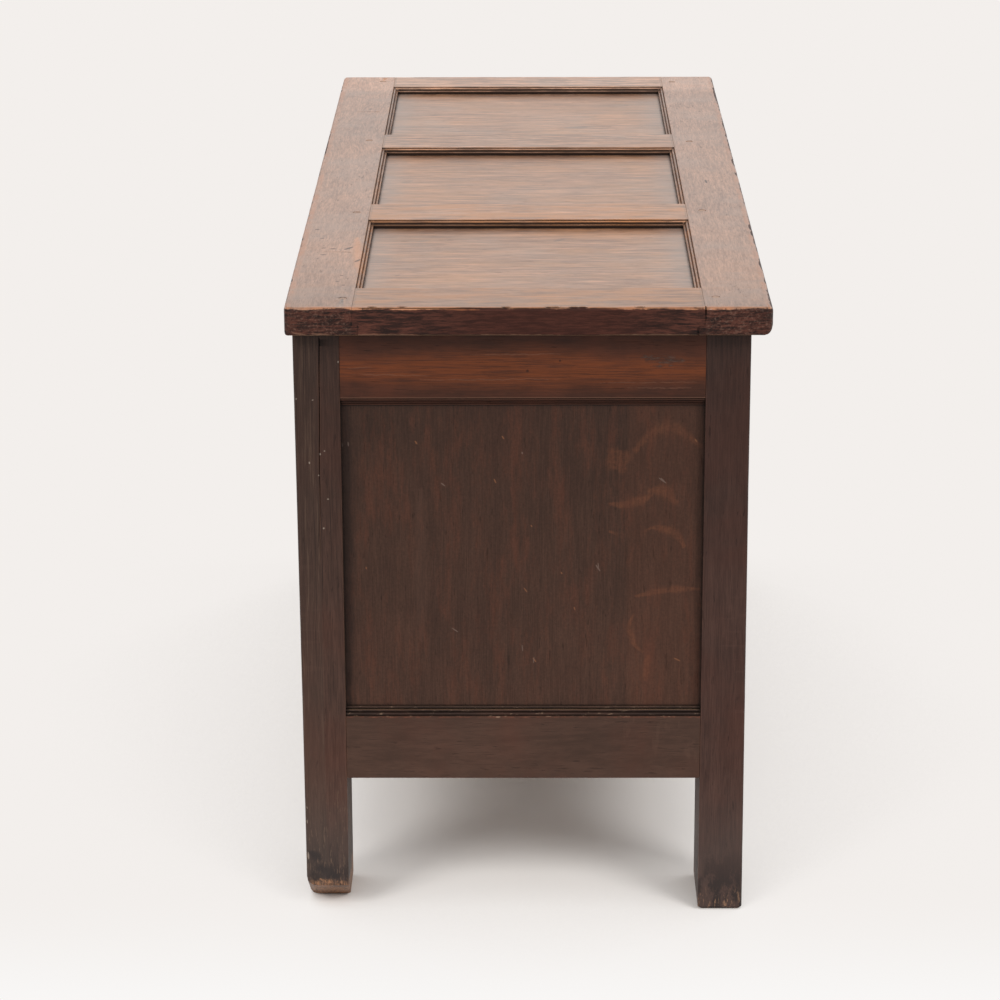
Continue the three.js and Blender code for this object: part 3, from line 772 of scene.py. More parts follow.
def weathered(tree, look, colour):
    """The grey, streaky outer strip of the rear stile, its pale nicks and its bare toe."""
    body, place = look["body"], look["place"]
    across, height = parts_of(tree, body)[1:3]
    strip = spread(tree, across, *OUTER_STRIP)
    streak = spread(tree, streaks(tree, place, (14.0, 420.0, 420.0), 3.0, 0.6), 0.52, 0.66)
    streak = times(tree, times(tree, strip, streak), spread(tree, height, 0.1, 0.42, 0.25, 1.0))
    colour = painted(tree, colour, (66, 52, 45), strip, 0.35)
    colour = painted(tree, colour, (108, 86, 72), streak, 0.4)
    checks = spread(tree, streaks(tree, place, (5.0, 520.0, 520.0), 2.0, 0.5), 0.3, 0.37, 0.7, 0.0)
    colour = painted(tree, colour, (24, 16, 14), checks, spread(tree, height, 0.2, 0.5, 0.3, 1.0))
    colour = shaded_and_scrubbed(tree, look, colour)
    flecked = spread(tree, streaks(tree, place, (70.0, 520.0, 520.0), 3.0, 0.7), 0.56, 0.68)
    colour = painted(tree, colour, (142, 114, 94), flecked, spread(tree, height, 0.05, 0.2, 0.32, 0.0))
    ragged = shaken(tree, body, 140.0, 0.007)
    colour = marked(tree, colour, (46, 41, 41), 0.7, ragged, END_PLANE, TOE_STAINS)
    low = times(tree, look["patches"], 0.012, height)
    toe = sum_of(tree, "MAXIMUM", spread(tree, low, 0.03, 0.044, 1.0, 0.0),
                 marks_on(tree, ragged, END_PLANE, TOE_BARE))
    flaky = spread(tree, streaks(tree, body, (420.0, 420.0, 170.0), 5.0, 0.8), 0.4, 0.6, 0.12, 0.8)
    colour = painted(tree, colour, (162, 118, 88), toe, flaky)
    fine = shaken(tree, body, 160.0, 0.002)
    return marked(tree, colour, (150, 136, 124), 0.7, fine, END_PLANE, STILE_NICKS)


STILE_FINISHES = {
    "stile_rear_left": waxed_oak(
        "weathered stile oak", (86, 62, 53), (44, 30, 25), CASE_WORN, contrast=0.9, banding=0.2, cloudy=0.12,
        tinge_share=0.25, history=weathered),
    "stile_front_left": waxed_oak(
        "smoky stile oak", (86, 61, 53), (43, 28, 24), (106, 72, 58), contrast=0.8, banding=0.2,
        tinge=(78, 46, 37), tinge_share=0.4),
}
for seed, node in enumerate(STILES, 1):
    finish = STILE_FINISHES.get(node, case_oak)
    stile = board_from(node, 0.0006, finish)
    side = -1 if "left" in node else 1
    if "front" in node:
        outward, face, inner_face = -1, EDGE_FRONT, STILE_INNER_FRONT
    else:
        outward, face, inner_face = 1, EDGE_REAR, STILE_INNER_REAR
    knocked(stile, 2, (side * EDGE_X, face), 0.0035, 0.0024, seed)
    knocked(stile, 2, (side * EDGE_X, inner_face), 0.003, 0.0009, seed + 10)
    knocked(stile, 2, (side * STILE_INNER_X, face), 0.003, 0.0009, seed + 20)
    if node == "stile_rear_left":
        leaning(stile, face, 0.002, -0.0008, 0.25)
        shake = (seen_at(*SHAKE_TOP, *END_PLANE), seen_at(*SHAKE_FOOT, *END_PLANE))
        cracked(stile, 2, *shake, 0, 0.0011, 0.004, 4)
    if node == "stile_front_left":
        leaning(stile, face, 0.0, -0.0018, 0.5)
    inner_faces(stile)
    spots = [(side * along, face, height) for along, height in STILE_PEGS]
    pegged(stile, spots, 1, outward, seed + 5, "case", finish)
    grained(stile, 2, seed)
    finished(stile, node, "case")


# End walls: a top and a bottom rail tenoned between two stiles, each with a run moulding on its
# inner edge, and one wide quarter-sawn panel in grooves. The left end is the one that is seen most.
PANEL_PLANE = (0, box_of("left_end_panel")[0][0])
PANEL_HEART = (-0.109, -0.103)
UPPER_ARRIS = (0.5885, 0.592)
LOWER_REED = (0.2275, 0.2306)
RAIL_GLOW = [(30, (450, 366), (620, 366)), (30, (300, 370), (745, 371))]
RAIL_SPOTS = [(2.4, (526, 371), (529, 371)), (2.2, (559, 361), (561, 361))]
RAIL_SCUFF = [(7, (642, 358), (685, 361)), (3, (650, 366), (672, 365))]
RAIL_LINES = [
    (1.1, (352, 374), (430, 376)), (1.0, (420, 380), (560, 379)), (0.9, (600, 383), (698, 382)),
    (1.0, (347, 368), (372, 367)), (0.9, (628, 388), (696, 388)), (1.0, (470, 355), (560, 354)),
]
PANEL_RAYS = [
    (24, (614, 452), (622, 468)), (16, (636, 450), (700, 446), (660, 428)),
    (9, (610, 504), (653, 492), (634, 503)), (14, (650, 490), (676, 502), (662, 490)),
    (7, (610, 532), (651, 528), (636, 535)), (8, (651, 528), (684, 546), (671, 531)),
    (7, (636, 596), (698, 589), (668, 590)), (7, (701, 605), (632, 616), (655, 605)),
    (7, (632, 616), (642, 652), (630, 634)), (8, (648, 656), (645, 680)),
]
PANEL_STREAK = [(11, (420, 490), (421, 640))]
PANEL_SCRATCHES = [
    (1.0, (452, 628), (458, 632)), (0.9, (522, 645), (522.6, 651)), (0.9, (534, 657), (533.6, 663)),
    (0.9, (598, 563), (598.6, 568)), (0.9, (661, 478), (665, 482)), (1.1, (342, 443), (342.4, 447)),
    (1.1, (348, 442), (348.4, 446)), (1.4, (596, 565), (600, 571)), (1.3, (659, 478), (666, 483)),
    (1.3, (522, 452), (522.4, 454)), (1.2, (441, 483), (445, 486)),
]
PANEL_CHIPS = [
    (1.5, (415, 441), (417, 444)), (1.3, (502, 436), (504, 439)), (1.3, (494, 479), (496, 483)),
    (1.2, (531, 525), (532, 527)), (1.2, (561, 572), (562, 574)), (1.2, (524, 588), (527, 592)),
    (1.2, (366, 567), (366.4, 569)), (1.3, (695, 439), (697, 442)), (1.3, (674, 658), (680, 661)),
    (1.4, (533, 658), (536, 662)), (1.2, (574, 607), (575, 610)),
]
PANEL_SHADE = [(9, (346, 404), (350, 704))]
LOWER_SPOTS = [(2.6, (404, 711), (406, 713))]
LOWER_NICKS = [
    (1.3, (416, 708), (418, 708)), (1.5, (429, 713), (433, 714)), (1.4, (438, 712), (442, 712)),
    (1.2, (425, 715), (427, 715)), (1.5, (496, 717), (500, 717)), (1.3, (460, 714), (466, 714)),
    (1.2, (530, 708), (534, 708)), (1.3, (596, 706), (600, 706)), (1.2, (545, 716), (552, 716)),
]


def polished_rail(tree, look, colour):
    """The top rail: an orange glow where hands have rubbed through the stain, spots and a scuff."""
    body, place = look["body"], look["place"]
    colour = shaded_and_scrubbed(tree, look, colour)
    ragged = shaken(tree, body, 18.0, 0.016)
    glow = marks_on(tree, ragged, END_PLANE, RAIL_GLOW)
    drawn = streaks(tree, place, (20.0, 560.0, 560.0), 4.0, 0.7)
    glow = times(tree, glow, spread(tree, drawn, 0.34, 0.62, 0.15, 1.0))
    colour = painted(tree, colour, (118, 60, 28), glow, 0.56)
    fine = shaken(tree, body, 120.0, 0.003)
    colour = marked(tree, colour, (112, 78, 62), 0.35, fine, END_PLANE, RAIL_LINES)
    scuff = marks_on(tree, shaken(tree, body, 70.0, 0.012), END_PLANE, RAIL_SCUFF)
    mottled = streaks(tree, body, (60.0, 90.0, 360.0), 4.0, 0.7)
    colour = painted(tree, colour, (44, 33, 29), scuff, spread(tree, mottled, 0.4, 0.55, 0.2, 0.7))
    colour = painted(tree, colour, (92, 80, 74), scuff, spread(tree, mottled, 0.5, 0.66, 0.0, 0.4))
    height = parts_of(tree, body)[2]
    # Painted highlight: a paler line along the rail's lower arris, above its moulding.
    low, high = UPPER_ARRIS
    arris = times(tree, spread(tree, height, low, low + 0.001),
                  spread(tree, height, high - 0.001, high, 1.0, 0.0))
    colour = painted(tree, colour, (104, 76, 62), arris, 0.5)
    return marked(tree, colour, (34, 20, 15), 0.8, fine, END_PLANE, RAIL_SPOTS)


def rayed_panel(tree, look, colour):
    """The left end panel: broad ray figure on its right side, a few small scratches."""
    body = look["body"]
    colour = shaded_and_scrubbed(tree, look, colour)
    ragged = shaken(tree, body, 60.0, 0.006)
    soft_rays = marks_on(tree, ragged, PANEL_PLANE, PANEL_RAYS)
    flaked = streaks(tree, body, (40.0, 90.0, 300.0), 4.0, 0.65)
    rays = times(tree, spread(tree, soft_rays, 0.35, 0.9), spread(tree, flaked, 0.4, 0.62, 0.3, 1.0))
    heart = spread(tree, parts_of(tree, body)[1], *PANEL_HEART, 1.0, 0.0)
    colour = painted(tree, colour, (96, 58, 42), heart, 0.14)
    glow = times(tree, soft_rays, times(tree, look["lines"], 0.22, 0.03))
    colour = painted(tree, colour, (116, 70, 46), glow)
    colour = painted(tree, colour, (124, 74, 50), rays, 0.12)
    red = streaks(tree, body, (5.0, 42.0, 9.0), 6.0, 0.78)
    colour = painted(tree, colour, (88, 50, 36), spread(tree, red, 0.46, 0.7, 0.0, 0.42))
    colour = scaled(tree, colour, spread(tree, clouds(tree, body, 330.0, 3.0, 0.7), 0.3, 0.7, 0.9, 1.1))
    colour = marked(tree, colour, (88, 64, 54), 0.15, ragged, PANEL_PLANE, PANEL_STREAK)
    colour = marked(tree, colour, (128, 84, 58), 0.55, body, PANEL_PLANE, PANEL_CHIPS)
    colour = marked(tree, colour, (36, 24, 20), 0.6, ragged, PANEL_PLANE, PANEL_SHADE)
    return marked(tree, colour, (110, 92, 84), 0.6, body, PANEL_PLANE, PANEL_SCRATCHES)


def nicked_rail(tree, look, colour):
    """The bottom rail: painted shade below the panel, an ink spot and chips along its moulding."""
    body = look["body"]
    colour = shaded_and_scrubbed(tree, look, colour)
    height = parts_of(tree, body)[2]
    low, high = LOWER_REED
    # Painted shade along the top of the moulding, where the rail meets the panel.
    junction_shade_strength = spread(tree, streaks(tree, body, (4.0, 11.0, 60.0), 5.0, 0.7), 0.36, 0.6, 0.2, 0.8)
    colour = painted(tree, colour, (36, 27, 24), spread(tree, height, high - 0.001, high), junction_shade_strength)
    flecks = streaks(tree, body, (60.0, 110.0, 420.0), 4.0, 0.75)
    rubbed = times(tree, spread(tree, height, low, low + 0.0015),
                   spread(tree, height, high - 0.001, high - 0.0004, 1.0, 0.0))
    colour = painted(tree, colour, (108, 62, 46), rubbed, spread(tree, flecks, 0.42, 0.62, 0.0, 0.6))
    chipped = spread(tree, flecks, 0.58, 0.68, 0.0, 0.7)
    colour = painted(tree, colour, (134, 110, 92), spread(tree, height, low + 0.001, low + 0.0025), chipped)
    colour = marked(tree, colour, (28, 26, 32), 0.8, body, END_PLANE, LOWER_SPOTS)
    return marked(tree, colour, (150, 120, 100), 0.7, body, END_PLANE, LOWER_NICKS)


END_FINISHES = {
    "left_end_top_rail": waxed_oak(
        "rubbed top rail oak", (92, 53, 38), (52, 31, 23), (112, 68, 48), tinge=(104, 56, 38), banding=0.25,
        cloudy=0.12, grime=0.5, history=polished_rail),
    "left_end_panel": waxed_oak(
        "rayed panel oak", (81, 56, 45), (46, 30, 23), (96, 66, 54), contrast=0.8, banding=0.12, cloudy=0.1,
        tinge_share=0.1, fleck=0.0, grime=0.7, history=rayed_panel),
    "left_end_bottom_rail": waxed_oak(
        "lower rail oak", (82, 59, 49), (50, 35, 28), CASE_WORN, contrast=0.7, banding=0.15, cloudy=0.1,
        grime=0.25, dirt=0.5, tinge_share=0.3, history=nicked_rail),
}
for side_number, side in enumerate(("left", "right")):
    sign = -1 if side == "left" else 1
    for number, part in enumerate(("top_rail", "bottom_rail", "panel")):
        node = f"{side}_end_{part}"
        seed = 20 + 5 * side_number + number
        board = board_from(node, 0.0004, END_FINISHES.get(node, case_oak))
        if part == "bottom_rail":
            knocked(board, 1, (sign * EDGE_X, FLOOR_HEIGHT), 0.006, 0.0045, seed)
        inner_faces(board)
        grained(board, 2 if part == "panel" else 1, seed)
        finished(board, node, "case")


# Front and rear walls: two rails, two muntins and three panels each. The front is moulded as the
# ends are, the rear is plain. The muntins are tenoned into the rails and pegged.
RAIL_PEG_INSET = 0.021
MUNTIN_PEG_SHIFT = 0.002
WALL_PARTS = ("top_rail", "bottom_rail", "muntin_left", "muntin_right", "panel_left", "panel_middle",
              "panel_right")
for wall_number, wall in enumerate(("front", "rear")):
    outward, face = (-1, EDGE_FRONT) if wall == "front" else (1, EDGE_REAR)
    for number, part in enumerate(WALL_PARTS):
        node = f"{wall}_{part}"
        seed = 40 + 10 * wall_number + number
        along = 0 if part.endswith("_rail") else 2
        board = board_from(node, 0.0004, case_oak)
        if part == "bottom_rail":
            knocked(board, 0, (face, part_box(node)[0].z), 0.003, 0.001, seed)
        inner_faces(board)
        if along == 0:
            low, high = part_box(node)
            peg_row = low.z + RAIL_PEG_INSET if part == "top_rail" else high.z - RAIL_PEG_INSET
            spots = []
            for muntin in ("left", "right"):
                near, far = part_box(f"{wall}_muntin_{muntin}")
                spots.append(((near.x + far.x) / 2 + MUNTIN_PEG_SHIFT, face, peg_row))
            pegged(board, spots, 1, outward, seed, "case", case_oak)
        grained(board, along, seed)
        finished(board, node, "case")


# Bottom boards: six short oak boards laid front to back, lapped at their edges, dry and unwaxed,
# nailed up from below to the bottom rails.
for number in range(1, 7):
    node = f"bottom_board_{number}"
    board = board_from(node, 0.0005, inner_oak)
    grained(board, 1, 60 + number)
    finished(board, node, "case")


# Lid: a frame of two long rails, two end rails and two muntins round three panels, rubbed paler
# than the case by three centuries of sitting and polishing, with grime and painted shade in the moulding.
LID_DARK = (112, 78, 60)
LID_PALE = (208, 158, 126)
LID_GREY = (168, 140, 124)
LID_WORN = (214, 164, 124)
# The colour of the painted shade in the lid's moulding, and how much of it each step down gives.
MOULDING_SHADE = (40, 26, 21)
REED_SHADES = [(0.0014, 0.0), (0.0027, 0.92), (0.0049, 0.5), (0.0060, 0.97)]
REED_FADE = 0.0003
EDGE_DARK = (12, 6, 5)
EDGE_PALE = (84, 48, 38)
EDGE_RED = (56, 24, 15)
EDGE_RUB = (176, 118, 82)
EDGE_PAINTS = {"warm": ((150, 92, 60), 0.6), "scuffs": ((122, 92, 74), 0.6), "holes": ((18, 12, 10), 0.9)}
lid_rail = box_of("lid_rear_rail")
LID_END, LID_SIDE, LID_TOP = lid_rail[1]
LID_UNDER = lid_rail[0][2]
TOP_PLANE, LID_END_PLANE = (2, LID_TOP), (0, -LID_END)
LONG_RAIL_EDGE = (0.180, 0.186)
SIDE_MOULDING = (0.1768, 0.178)
LID_SMUDGES = [
    (10, (566, 128), (586, 127)), (7, (402, 183), (412, 181)), (7, (417, 242), (430, 240)),
    (6, (556, 241), (564, 239)), (5, (440, 226), (470, 225)), (4, (505, 232), (551, 230)),
]
LID_PANEL_PLANE = (2, box_of("lid_panel_left")[1][2])
PANEL_SIDE = 0.1838
PANEL_FAR_EDGES = (-0.2295, 0.1585, 0.5455)
PANEL_SPECKS = [
    (1.5, (574, 275), (577, 275)), (1.6, (631, 275), (634, 275)), (1.3, (440, 128), (444, 128)),
    (1.4, (395, 276), (400, 275)), (1.2, (561, 109), (567, 109)), (1.3, (442, 121), (445, 121)),
]
REAR_MARKS = {
    "glow": [(9, (357, 238), (360, 273))],
    "pits": [
        (3.4, (369.6, 109), (372.6, 109)), (3.4, (315.6, 229.6), (319.4, 229.2)),
        (3.0, (320.6, 238.4), (323.8, 238.2)), (3.4, (321.6, 248.2), (325.6, 247.8)),
        (4.0, (330.4, 248.8), (335.6, 248.8)), (4.0, (345, 249.6), (352.4, 247)),
        (3.2, (320.6, 254.8), (325.6, 254.6)), (3.2, (355, 262), (360, 259.4)),
        (3.2, (340.4, 275.8), (343, 275.4)), (3.4, (336, 281.6), (338.4, 281.4)),
        (3.8, (342, 285.2), (345, 285)), (3.0, (337, 297.4), (345, 297.2)),
    ],
    "scuffs": [(1.4, (292, 333), (306, 335)), (1.6, (312, 334), (330, 335))],
    "holes": [(2.0, (345, 323.6), (345.4, 324.4)), (2.0, (351, 322.6), (351.4, 325.4))],
}
END_MARKS = {
    "glow": [(6, (372, 296), (690, 296))],
    "dents": [
        (2.6, (546, 304.6), (558, 305.6)), (3.0, (566, 305), (590, 305.4)),
        (1.6, (505, 306), (514, 306.4)),
    ],
    "warm": [
        (2.6, (364, 308), (422, 309)), (2.2, (428, 308.5), (480, 309.5)), (2.4, (590, 308), (640, 308)),
        (2.4, (688, 307.5), (703, 307.5)),
    ],
    "scuffs": [
        (1.0, (340, 334.4), (420, 334.8)), (1.0, (455, 334.8), (560, 335)),
        (1.0, (600, 335), (690, 334.6)),
    ],
    "holes": [
        (2.2, (357.3, 326), (357.8, 328)), (2.2, (545, 306.4), (556, 307)),
        (2.0, (570, 307), (588, 306.6)), (1.1, (698, 328.5), (698, 335)),
    ],
}
FRONT_MARKS = {
    "pits": [(2.2, (705.5, 180), (706.5, 183))],
    "holes": [(2.2, (711.6, 320), (712.4, 321)), (0.9, (703, 318), (705, 327))],
}


def faded(tree, factor, first, second):
    """Two values mixed by a factor."""
    return put(tree, "Mix", {0: factor, 2: first, 3: second}, data_type="FLOAT").outputs[0]


def below_top(tree, level, low, high, share=1.0):
    """A mask of what lies below the lid's top, gone between two heights that are given from the top."""
    return spread(tree, level, LID_TOP + low, LID_TOP + high, share, 0.0)


def topped(tree, look, colour, marks):
    """The marks on a board's top: a warm glow, deep pits and scraped dents."""
    body = look["body"]
    ragged = shaken(tree, body, 45.0, 0.009)
    colour = marked(tree, colour, (210, 144, 98), 0.6, ragged, TOP_PLANE, marks.get("glow"))
    if marks.get("pits"):
        pitted = times(tree, marks_on(tree, body, TOP_PLANE, marks["pits"]), 0.9)
        colour = painted(tree, colour, (40, 28, 24), pitted)
        look["dull"] = sum_of(tree, "MAXIMUM", look["dull"], pitted)
    scraped = shaken(tree, body, 120.0, 0.004)
    return marked(tree, colour, (66, 54, 46), 0.9, scraped, TOP_PLANE, marks.get("dents"))


def toned(tree, body, colour, along, from_middle):
    """Painted sheen darker at the left end, paler at the far one; lined and warmer on crossing boards."""
    crossing = spread(tree, from_middle, *LONG_RAIL_EDGE, 1.0, 0.0)
    # Painted sheen: the near left end darker, where the grazing reflection is weaker.
    colour = scaled(tree, colour, spread(tree, along, -LID_END, -0.48, 0.72, 0.98))
    lined = times(tree, crossing, streaks(tree, body, (165.0, 18.0, 40.0), 4.0, 0.72))
    lined = spread(tree, lined, 0.36, 0.64, 0.5, 1.28)
    colour = scaled(tree, colour, faded(tree, crossing, 1.0, lined))
    golden = spread(tree, streaks(tree, body, (60.0, 14.0, 20.0), 4.0, 0.65), 0.4, 0.64, 0.4, 1.5)
    warmth = times(tree, crossing, spread(tree, along, -0.3, 0.4, 0.52, 0.0))
    warmth = sum_of(tree, "MAXIMUM", warmth, spread(tree, along, -0.62, -0.1, 0.13, 0.0))
    colour = painted(tree, colour, (190, 126, 72), warmth, golden)
    # Painted sheen: the far end rail paler, the near end rail darker.
    paler = times(tree, spread(tree, along, 0.5, 0.55), 0.32, 1.0)
    darker = times(tree, crossing, spread(tree, along, -0.545, -0.53, 0.13, 0.0))
    return scaled(tree, colour, sum_of(tree, "SUBTRACT", paler, darker))


def edge_wood(tree, look, across, from_middle, marks):
    """The unrubbed wood of an edge: dark lines, speckled end grain, a redder middle, and its marks."""
    body = look["body"]
    lines = streaks(tree, body, (60.0, 44.0, 400.0), 5.0, 0.78)
    lines = times(tree, spread(tree, lines, 0.42, 0.62), 0.75)
    lines = times(tree, look["lines"], 0.3, lines, clamp=True)
    colour = blended(tree, lines, tone(*EDGE_DARK), tone(*EDGE_PALE))
    ends = streaks(tree, body, (300.0, 260.0, 420.0), 4.0, 0.8)
    on_ends = spread(tree, from_middle, 0.183, 0.187)
    colour = painted(tree, colour, (116, 90, 78), on_ends, spread(tree, ends, 0.5, 0.66, 0.0, 0.44))
    colour = painted(tree, colour, EDGE_DARK, on_ends, spread(tree, ends, 0.3, 0.46, 0.7, 0.0))
    from_red = sum_of(tree, "ABSOLUTE", sum_of(tree, "ADD", across, 0.02))
    colour = painted(tree, colour, EDGE_RED, spread(tree, from_red, 0.04, 0.17, 0.65, 0.0))
    fine = shaken(tree, body, 150.0, 0.002)
    for kind, (paint, strength) in EDGE_PAINTS.items():
        colour = marked(tree, colour, paint, strength, fine, LID_END_PLANE, marks.get(kind))
    return colour


def sat_on(marks):
    """One board's marks on top, painted shade in its moulding, dark edges under an arris rubbed bare."""

    def history(tree, look, colour):
        body = look["body"]
        along, across, height = parts_of(tree, body)
        from_middle = sum_of(tree, "ABSOLUTE", across)
        from_end = sum_of(tree, "SUBTRACT", LID_END, sum_of(tree, "ABSOLUTE", along))
        inset = sum_of(tree, "MINIMUM", from_end, sum_of(tree, "SUBTRACT", LID_SIDE, from_middle))
        colour = topped(tree, look, colour, marks)
        colour = toned(tree, body, colour, along, from_middle)

        # Painted shade in the moulding: darker with each step down below the top, weaker in the side
        # mouldings.
        waver = clouds(tree, body, 24.0, 4.0, 0.7)
        level = times(tree, waver, 0.0012, sum_of(tree, "ADD", height, -0.0006))
        painted_groove_shade = below_top(tree, level, -0.0009, -0.0002, 0.5)
        for depth, shade in REED_SHADES:
            step = below_top(tree, level, -depth - REED_FADE, -depth + REED_FADE)
            painted_groove_shade = faded(tree, step, painted_groove_shade, shade)
        at_sides = spread(tree, from_middle, *SIDE_MOULDING, 1.0, 0.28)
        painted_groove_shade = times(tree, painted_groove_shade, at_sides)
        colour = painted(tree, colour, MOULDING_SHADE, painted_groove_shade)

        uneven = clouds(tree, body, 42.0, 5.0, 0.65)
        slow = streaks(tree, body, (12.0, 12.0, 12.0), 2.0, 0.6)
        wavy = times(tree, uneven, 0.005, height)
        wavy = sum_of(tree, "SUBTRACT", times(tree, slow, 0.008, wavy), 0.0065)
        outline = spread(tree, inset, 0.0055, 0.009, 1.0, 0.0)
        rub = times(tree, outline, below_top(tree, wavy, 0.0009, 0.0017))
        colour = painted(tree, colour, EDGE_RUB, rub, spread(tree, uneven, 0.4, 0.62, 0.15, 0.8))

        edge = times(tree, outline, below_top(tree, wavy, -0.0022, -0.0014))
        edge = times(tree, edge, below_top(tree, height, -0.0009, -0.0003))
        bitten = streaks(tree, body, (60.0, 70.0, 70.0), 5.0, 0.75)
        bitten = times(tree, bitten, -0.028, sum_of(tree, "ADD", inset, 0.0152))
        bitten = times(tree, spread(tree, bitten, -0.0008, 0.0008, 1.0, 0.0),
                       spread(tree, along, -0.612, -0.606, 0.8, 0.4))
        edge = sum_of(tree, "MAXIMUM", edge, bitten)
        grooves = times(tree, look["dull"], at_sides)
        look["dull"] = sum_of(tree, "MAXIMUM", grooves, sum_of(tree, "MAXIMUM", edge, painted_groove_shade))
        return blended(tree, edge, colour, edge_wood(tree, look, across, from_middle, marks))

    return history


def dusty_panel(tree, look, colour):
    """A lid panel: smudges, painted shadow with grime by far edges, grey dust and wax by long mouldings."""
    body = look["body"]
    ragged = shaken(tree, body, 45.0, 0.009)
    colour = marked(tree, colour, (112, 98, 92), 0.55, ragged, LID_PANEL_PLANE, LID_SMUDGES)
    colour = marked(tree, colour, (44, 28, 22), 0.85, body, LID_PANEL_PLANE, PANEL_SPECKS)
    along, across = parts_of(tree, body)[:2]
    from_side = sum_of(tree, "SUBTRACT", PANEL_SIDE, sum_of(tree, "ABSOLUTE", across))
    # Painted shadow and grime on the panel just below each far moulding.
    gap = 1.0
    for far_edge in PANEL_FAR_EDGES:
        to_edge = sum_of(tree, "ABSOLUTE", sum_of(tree, "SUBTRACT", along, far_edge))
        gap = sum_of(tree, "MINIMUM", gap, to_edge)
    strip = times(tree, spread(tree, gap, 0.008, 0.038, 1.0, 0.0),
                  times(tree, look["patches"], 0.35, 0.42))
    colour = painted(tree, colour, (86, 52, 32), strip)
    lined = spread(tree, streaks(tree, body, (170.0, 15.0, 30.0), 4.0, 0.7), 0.36, 0.64, 0.7, 1.14)
    colour = scaled(tree, colour, lined)
    golden = spread(tree, streaks(tree, body, (26.0, 7.0, 10.0), 5.0, 0.7), 0.42, 0.66, 0.0, 0.3)
    colour = painted(tree, colour, (198, 138, 84), golden)
    dust = times(tree, look["patches"], 0.5, 0.5)
    return painted(tree, colour, (150, 138, 132), spread(tree, from_side, 0.004, 0.045, 0.55, 0.0), dust)


LID_LOOK = {"tinge": LID_GREY, "tinge_share": 0.5, "dirt": 0.9, "grime": 0.8, "fleck": 0.0,
            "contrast": 1.3, "banding": 0.16, "cloudy": 0.1, "open_pores": 0.5, "wax": 0.78}
LONG_LOOK = LID_LOOK | {"tinge": (164, 139, 126), "grime": 0.1, "dirt": 0.4}
LONG_PALE = (200, 156, 131)
lid_oak = waxed_oak("rubbed lid oak", LID_PALE, LID_DARK, LID_WORN, history=sat_on({}), **LID_LOOK)
LID_FINISHES = {
    "lid_rear_rail": waxed_oak(
        "rubbed rear rail oak", LONG_PALE, LID_DARK, LID_WORN, history=sat_on(REAR_MARKS), **LONG_LOOK),
    "lid_left_rail": waxed_oak(
        "rubbed end rail oak", LID_PALE, LID_DARK, LID_WORN, history=sat_on(END_MARKS), **LID_LOOK),
    "lid_front_rail": waxed_oak(
        "rubbed front rail oak", LONG_PALE, LID_DARK, LID_WORN, history=sat_on(FRONT_MARKS), **LONG_LOOK),
}
lid_panel_oak = waxed_oak("rubbed lid panel oak", LID_PALE, LID_DARK, LID_WORN, dirt_reach=0.018,
                          history=dusty_panel, **LID_LOOK)
lid_peg_oak = waxed_oak("lid pegs", (184, 144, 118), (124, 94, 76), LID_WORN, tinge=LID_GREY, wear=0.3,
                        dirt=0.5, rough=0.4, shine=0.55, history=untouched)
LID_ALONG = {
    "lid_front_rail": 0, "lid_rear_rail": 0, "lid_left_rail": 1, "lid_right_rail": 1,
    "lid_muntin_left": 1, "lid_muntin_right": 1,
    "lid_panel_left": 1, "lid_panel_middle": 1, "lid_panel_right": 1,
}
UNDER_FACES = 0.68
LID_PEG_GAP = 0.0004
LID_PEGS = {
    "lid_rear_rail": [(40, 60), (431, 56), (827, 53), (1212, 55)],
    "lid_front_rail": [(44, 452), (439, 457), (818, 459), (1206, 453)],
}
SEAM_TOP, SEAM_FOOT = (705.2, 305), (706.2, 321)
SLOT_FOOT, SLOT_TOP = (698, 336.5), (698, 327)
EDGE_GOUGES = [seen_at(column, 307, 2, LID_TOP) for column in (506, 549, 556, 574, 583, 640, 372, 402)]
MOULDING_GOUGES = [seen_at(column, 223.5, 2, LID_TOP - 0.003)
                   for column in (509, 521, 533, 546, 583, 461)]


def gouged(board, places, size):
    """Knocks small shallow dents out of an arris."""
    dents = []
    bpy.ops.object.select_all(action="DESELECT")
    for number, place in enumerate(places):
        wide = size * (1 + 0.5 * rough(number * 1.7, size * 900, 0))
        bpy.ops.mesh.primitive_ico_sphere_add(subdivisions=2, radius=wide, location=place,
                                              scale=(0.5, 1.3, 0.45))
        dents.append(bpy.context.object)
    combined(board, joined(dents, "dents"), "DIFFERENCE")


STOP_DEPTH = 0.004
STOP_MARGIN = 0.0012
STOP_SUNK = 0.0001


def stopped(board, node):
    """Stops the groove over a hinge's clenched end, level with the top, so that no iron shows there."""
    near_top = [vert.co for vert in nodes[node].data.vertices if vert.co.z > LID_TOP - STOP_DEPTH]
    low = Vector(min(point[axis] for point in near_top) - STOP_MARGIN for axis in range(3))
    high = Vector(max(point[axis] for point in near_top) + STOP_MARGIN for axis in range(3))
    low.z, high.z = LID_TOP - STOP_DEPTH, LID_TOP - STOP_SUNK
    combined(board, block((low + high) / 2, high - low, "stop"), "UNION")


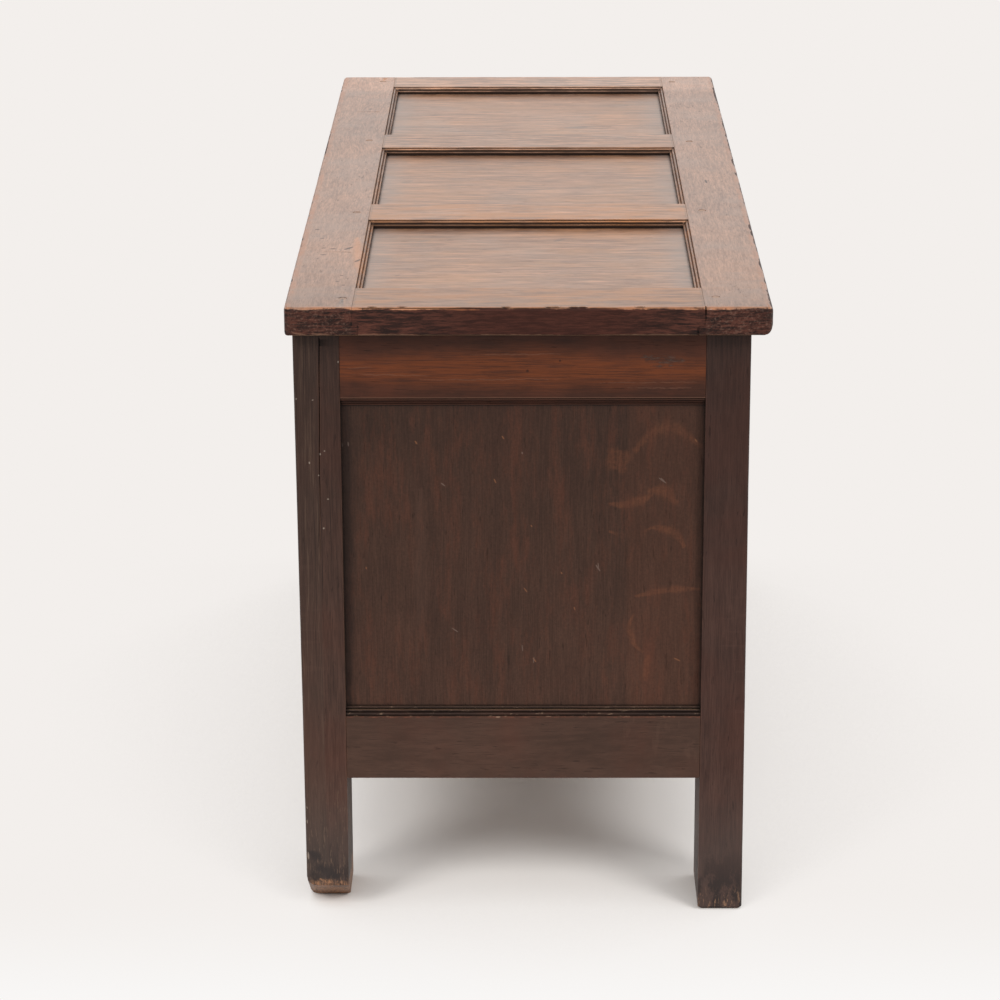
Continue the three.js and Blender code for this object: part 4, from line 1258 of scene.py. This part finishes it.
for number, (node, along) in enumerate(LID_ALONG.items()):
    seed = 80 + number
    finish = lid_panel_oak if "panel" in node else LID_FINISHES.get(node, lid_oak)
    board = board_from(node, 0.0004, finish)
    if node == "lid_left_rail":
        gouged(board, EDGE_GOUGES, 0.0044)
        slot = (seen_at(*SLOT_FOOT, *LID_END_PLANE), seen_at(*SLOT_TOP, *LID_END_PLANE))
        cracked(board, 2, *slot, 0, 0.0014, 0.008, 6)
    if node == "lid_front_rail":
        seam = (seen_at(*SEAM_TOP, *LID_END_PLANE), seen_at(*SEAM_FOOT, *LID_END_PLANE))
        cracked(board, 2, *seam, 0, 0.0013, 0.006, 7)
    if node == "lid_rear_rail":
        stopped(board, "hinge_left_lid_eye")
        stopped(board, "hinge_right_lid_eye")
    if node == "lid_muntin_left":
        gouged(board, MOULDING_GOUGES, 0.0034)
    if "panel" not in node:
        for end in (-LID_END, LID_END):
            knocked(board, 1, (end, LID_TOP), 0.0045, 0.0024, seed)
            knocked(board, 1, (end, LID_UNDER), 0.003, 0.0014, seed + 20)
        for edge in (-LID_SIDE, LID_SIDE):
            knocked(board, 0, (edge, LID_TOP), 0.006, 0.0016, seed)
            knocked(board, 0, (edge, LID_UNDER), 0.010 if edge < 0 else 0.004, 0.0012, seed + 20)
    for face in board.data.polygons:
        if face.normal.z < -0.7 and face.center.z < UNDER_FACES:
            face.material_index = 1
    if node in LID_PEGS:
        spots = [(from_end / 1000 - LID_END, LID_SIDE - from_rear / 1000, LID_TOP)
                 for from_end, from_rear in LID_PEGS[node]]
        pegged(board, spots, 2, 1, seed, "lid", lid_peg_oak, LID_PEG_GAP)
    pith, hurry = ((-0.07, -0.05), 1.9) if along == 0 else ((-0.24, -0.07), 1.0)
    grained(board, along, seed, pith, hurry)
    finished(board, node, "lid")


# Hinges: each of two linked eyes of round iron, forged from one split length, driven through the
# rear rails of lid and case and clenched over.
IRON_SHY = 0.0008
IRON_DROP = 0.0006
iron, tree, iron_shader = new_material("old black iron")
rust = put(tree, "TexNoise", {"Vector": own_place(tree), "Scale": 300.0, "Detail": 5.0}).outputs["Fac"]
fill(tree, iron_shader.inputs, {
    "Metallic": 0.6,
    "Base Color": blended(tree, spread(tree, rust, 0.45, 0.65), tone(38, 35, 33), tone(84, 52, 36)),
    "Roughness": spread(tree, rust, 0.3, 0.7, 0.45, 0.8),
    "Normal": put(tree, "Bump", {"Height": rust, "Strength": 0.6, "Distance": 0.0006}).outputs[0],
})
for node in [name for name in nodes if name.startswith("hinge_")]:
    eye = copied(node, "_iron", iron)
    for vert in eye.data.vertices:
        if vert.co.z > LID_TOP - IRON_SHY:
            vert.co.z -= IRON_DROP
    flattened(eye)
    finished(eye, node, "lid" if "lid_eye" in node else "case")
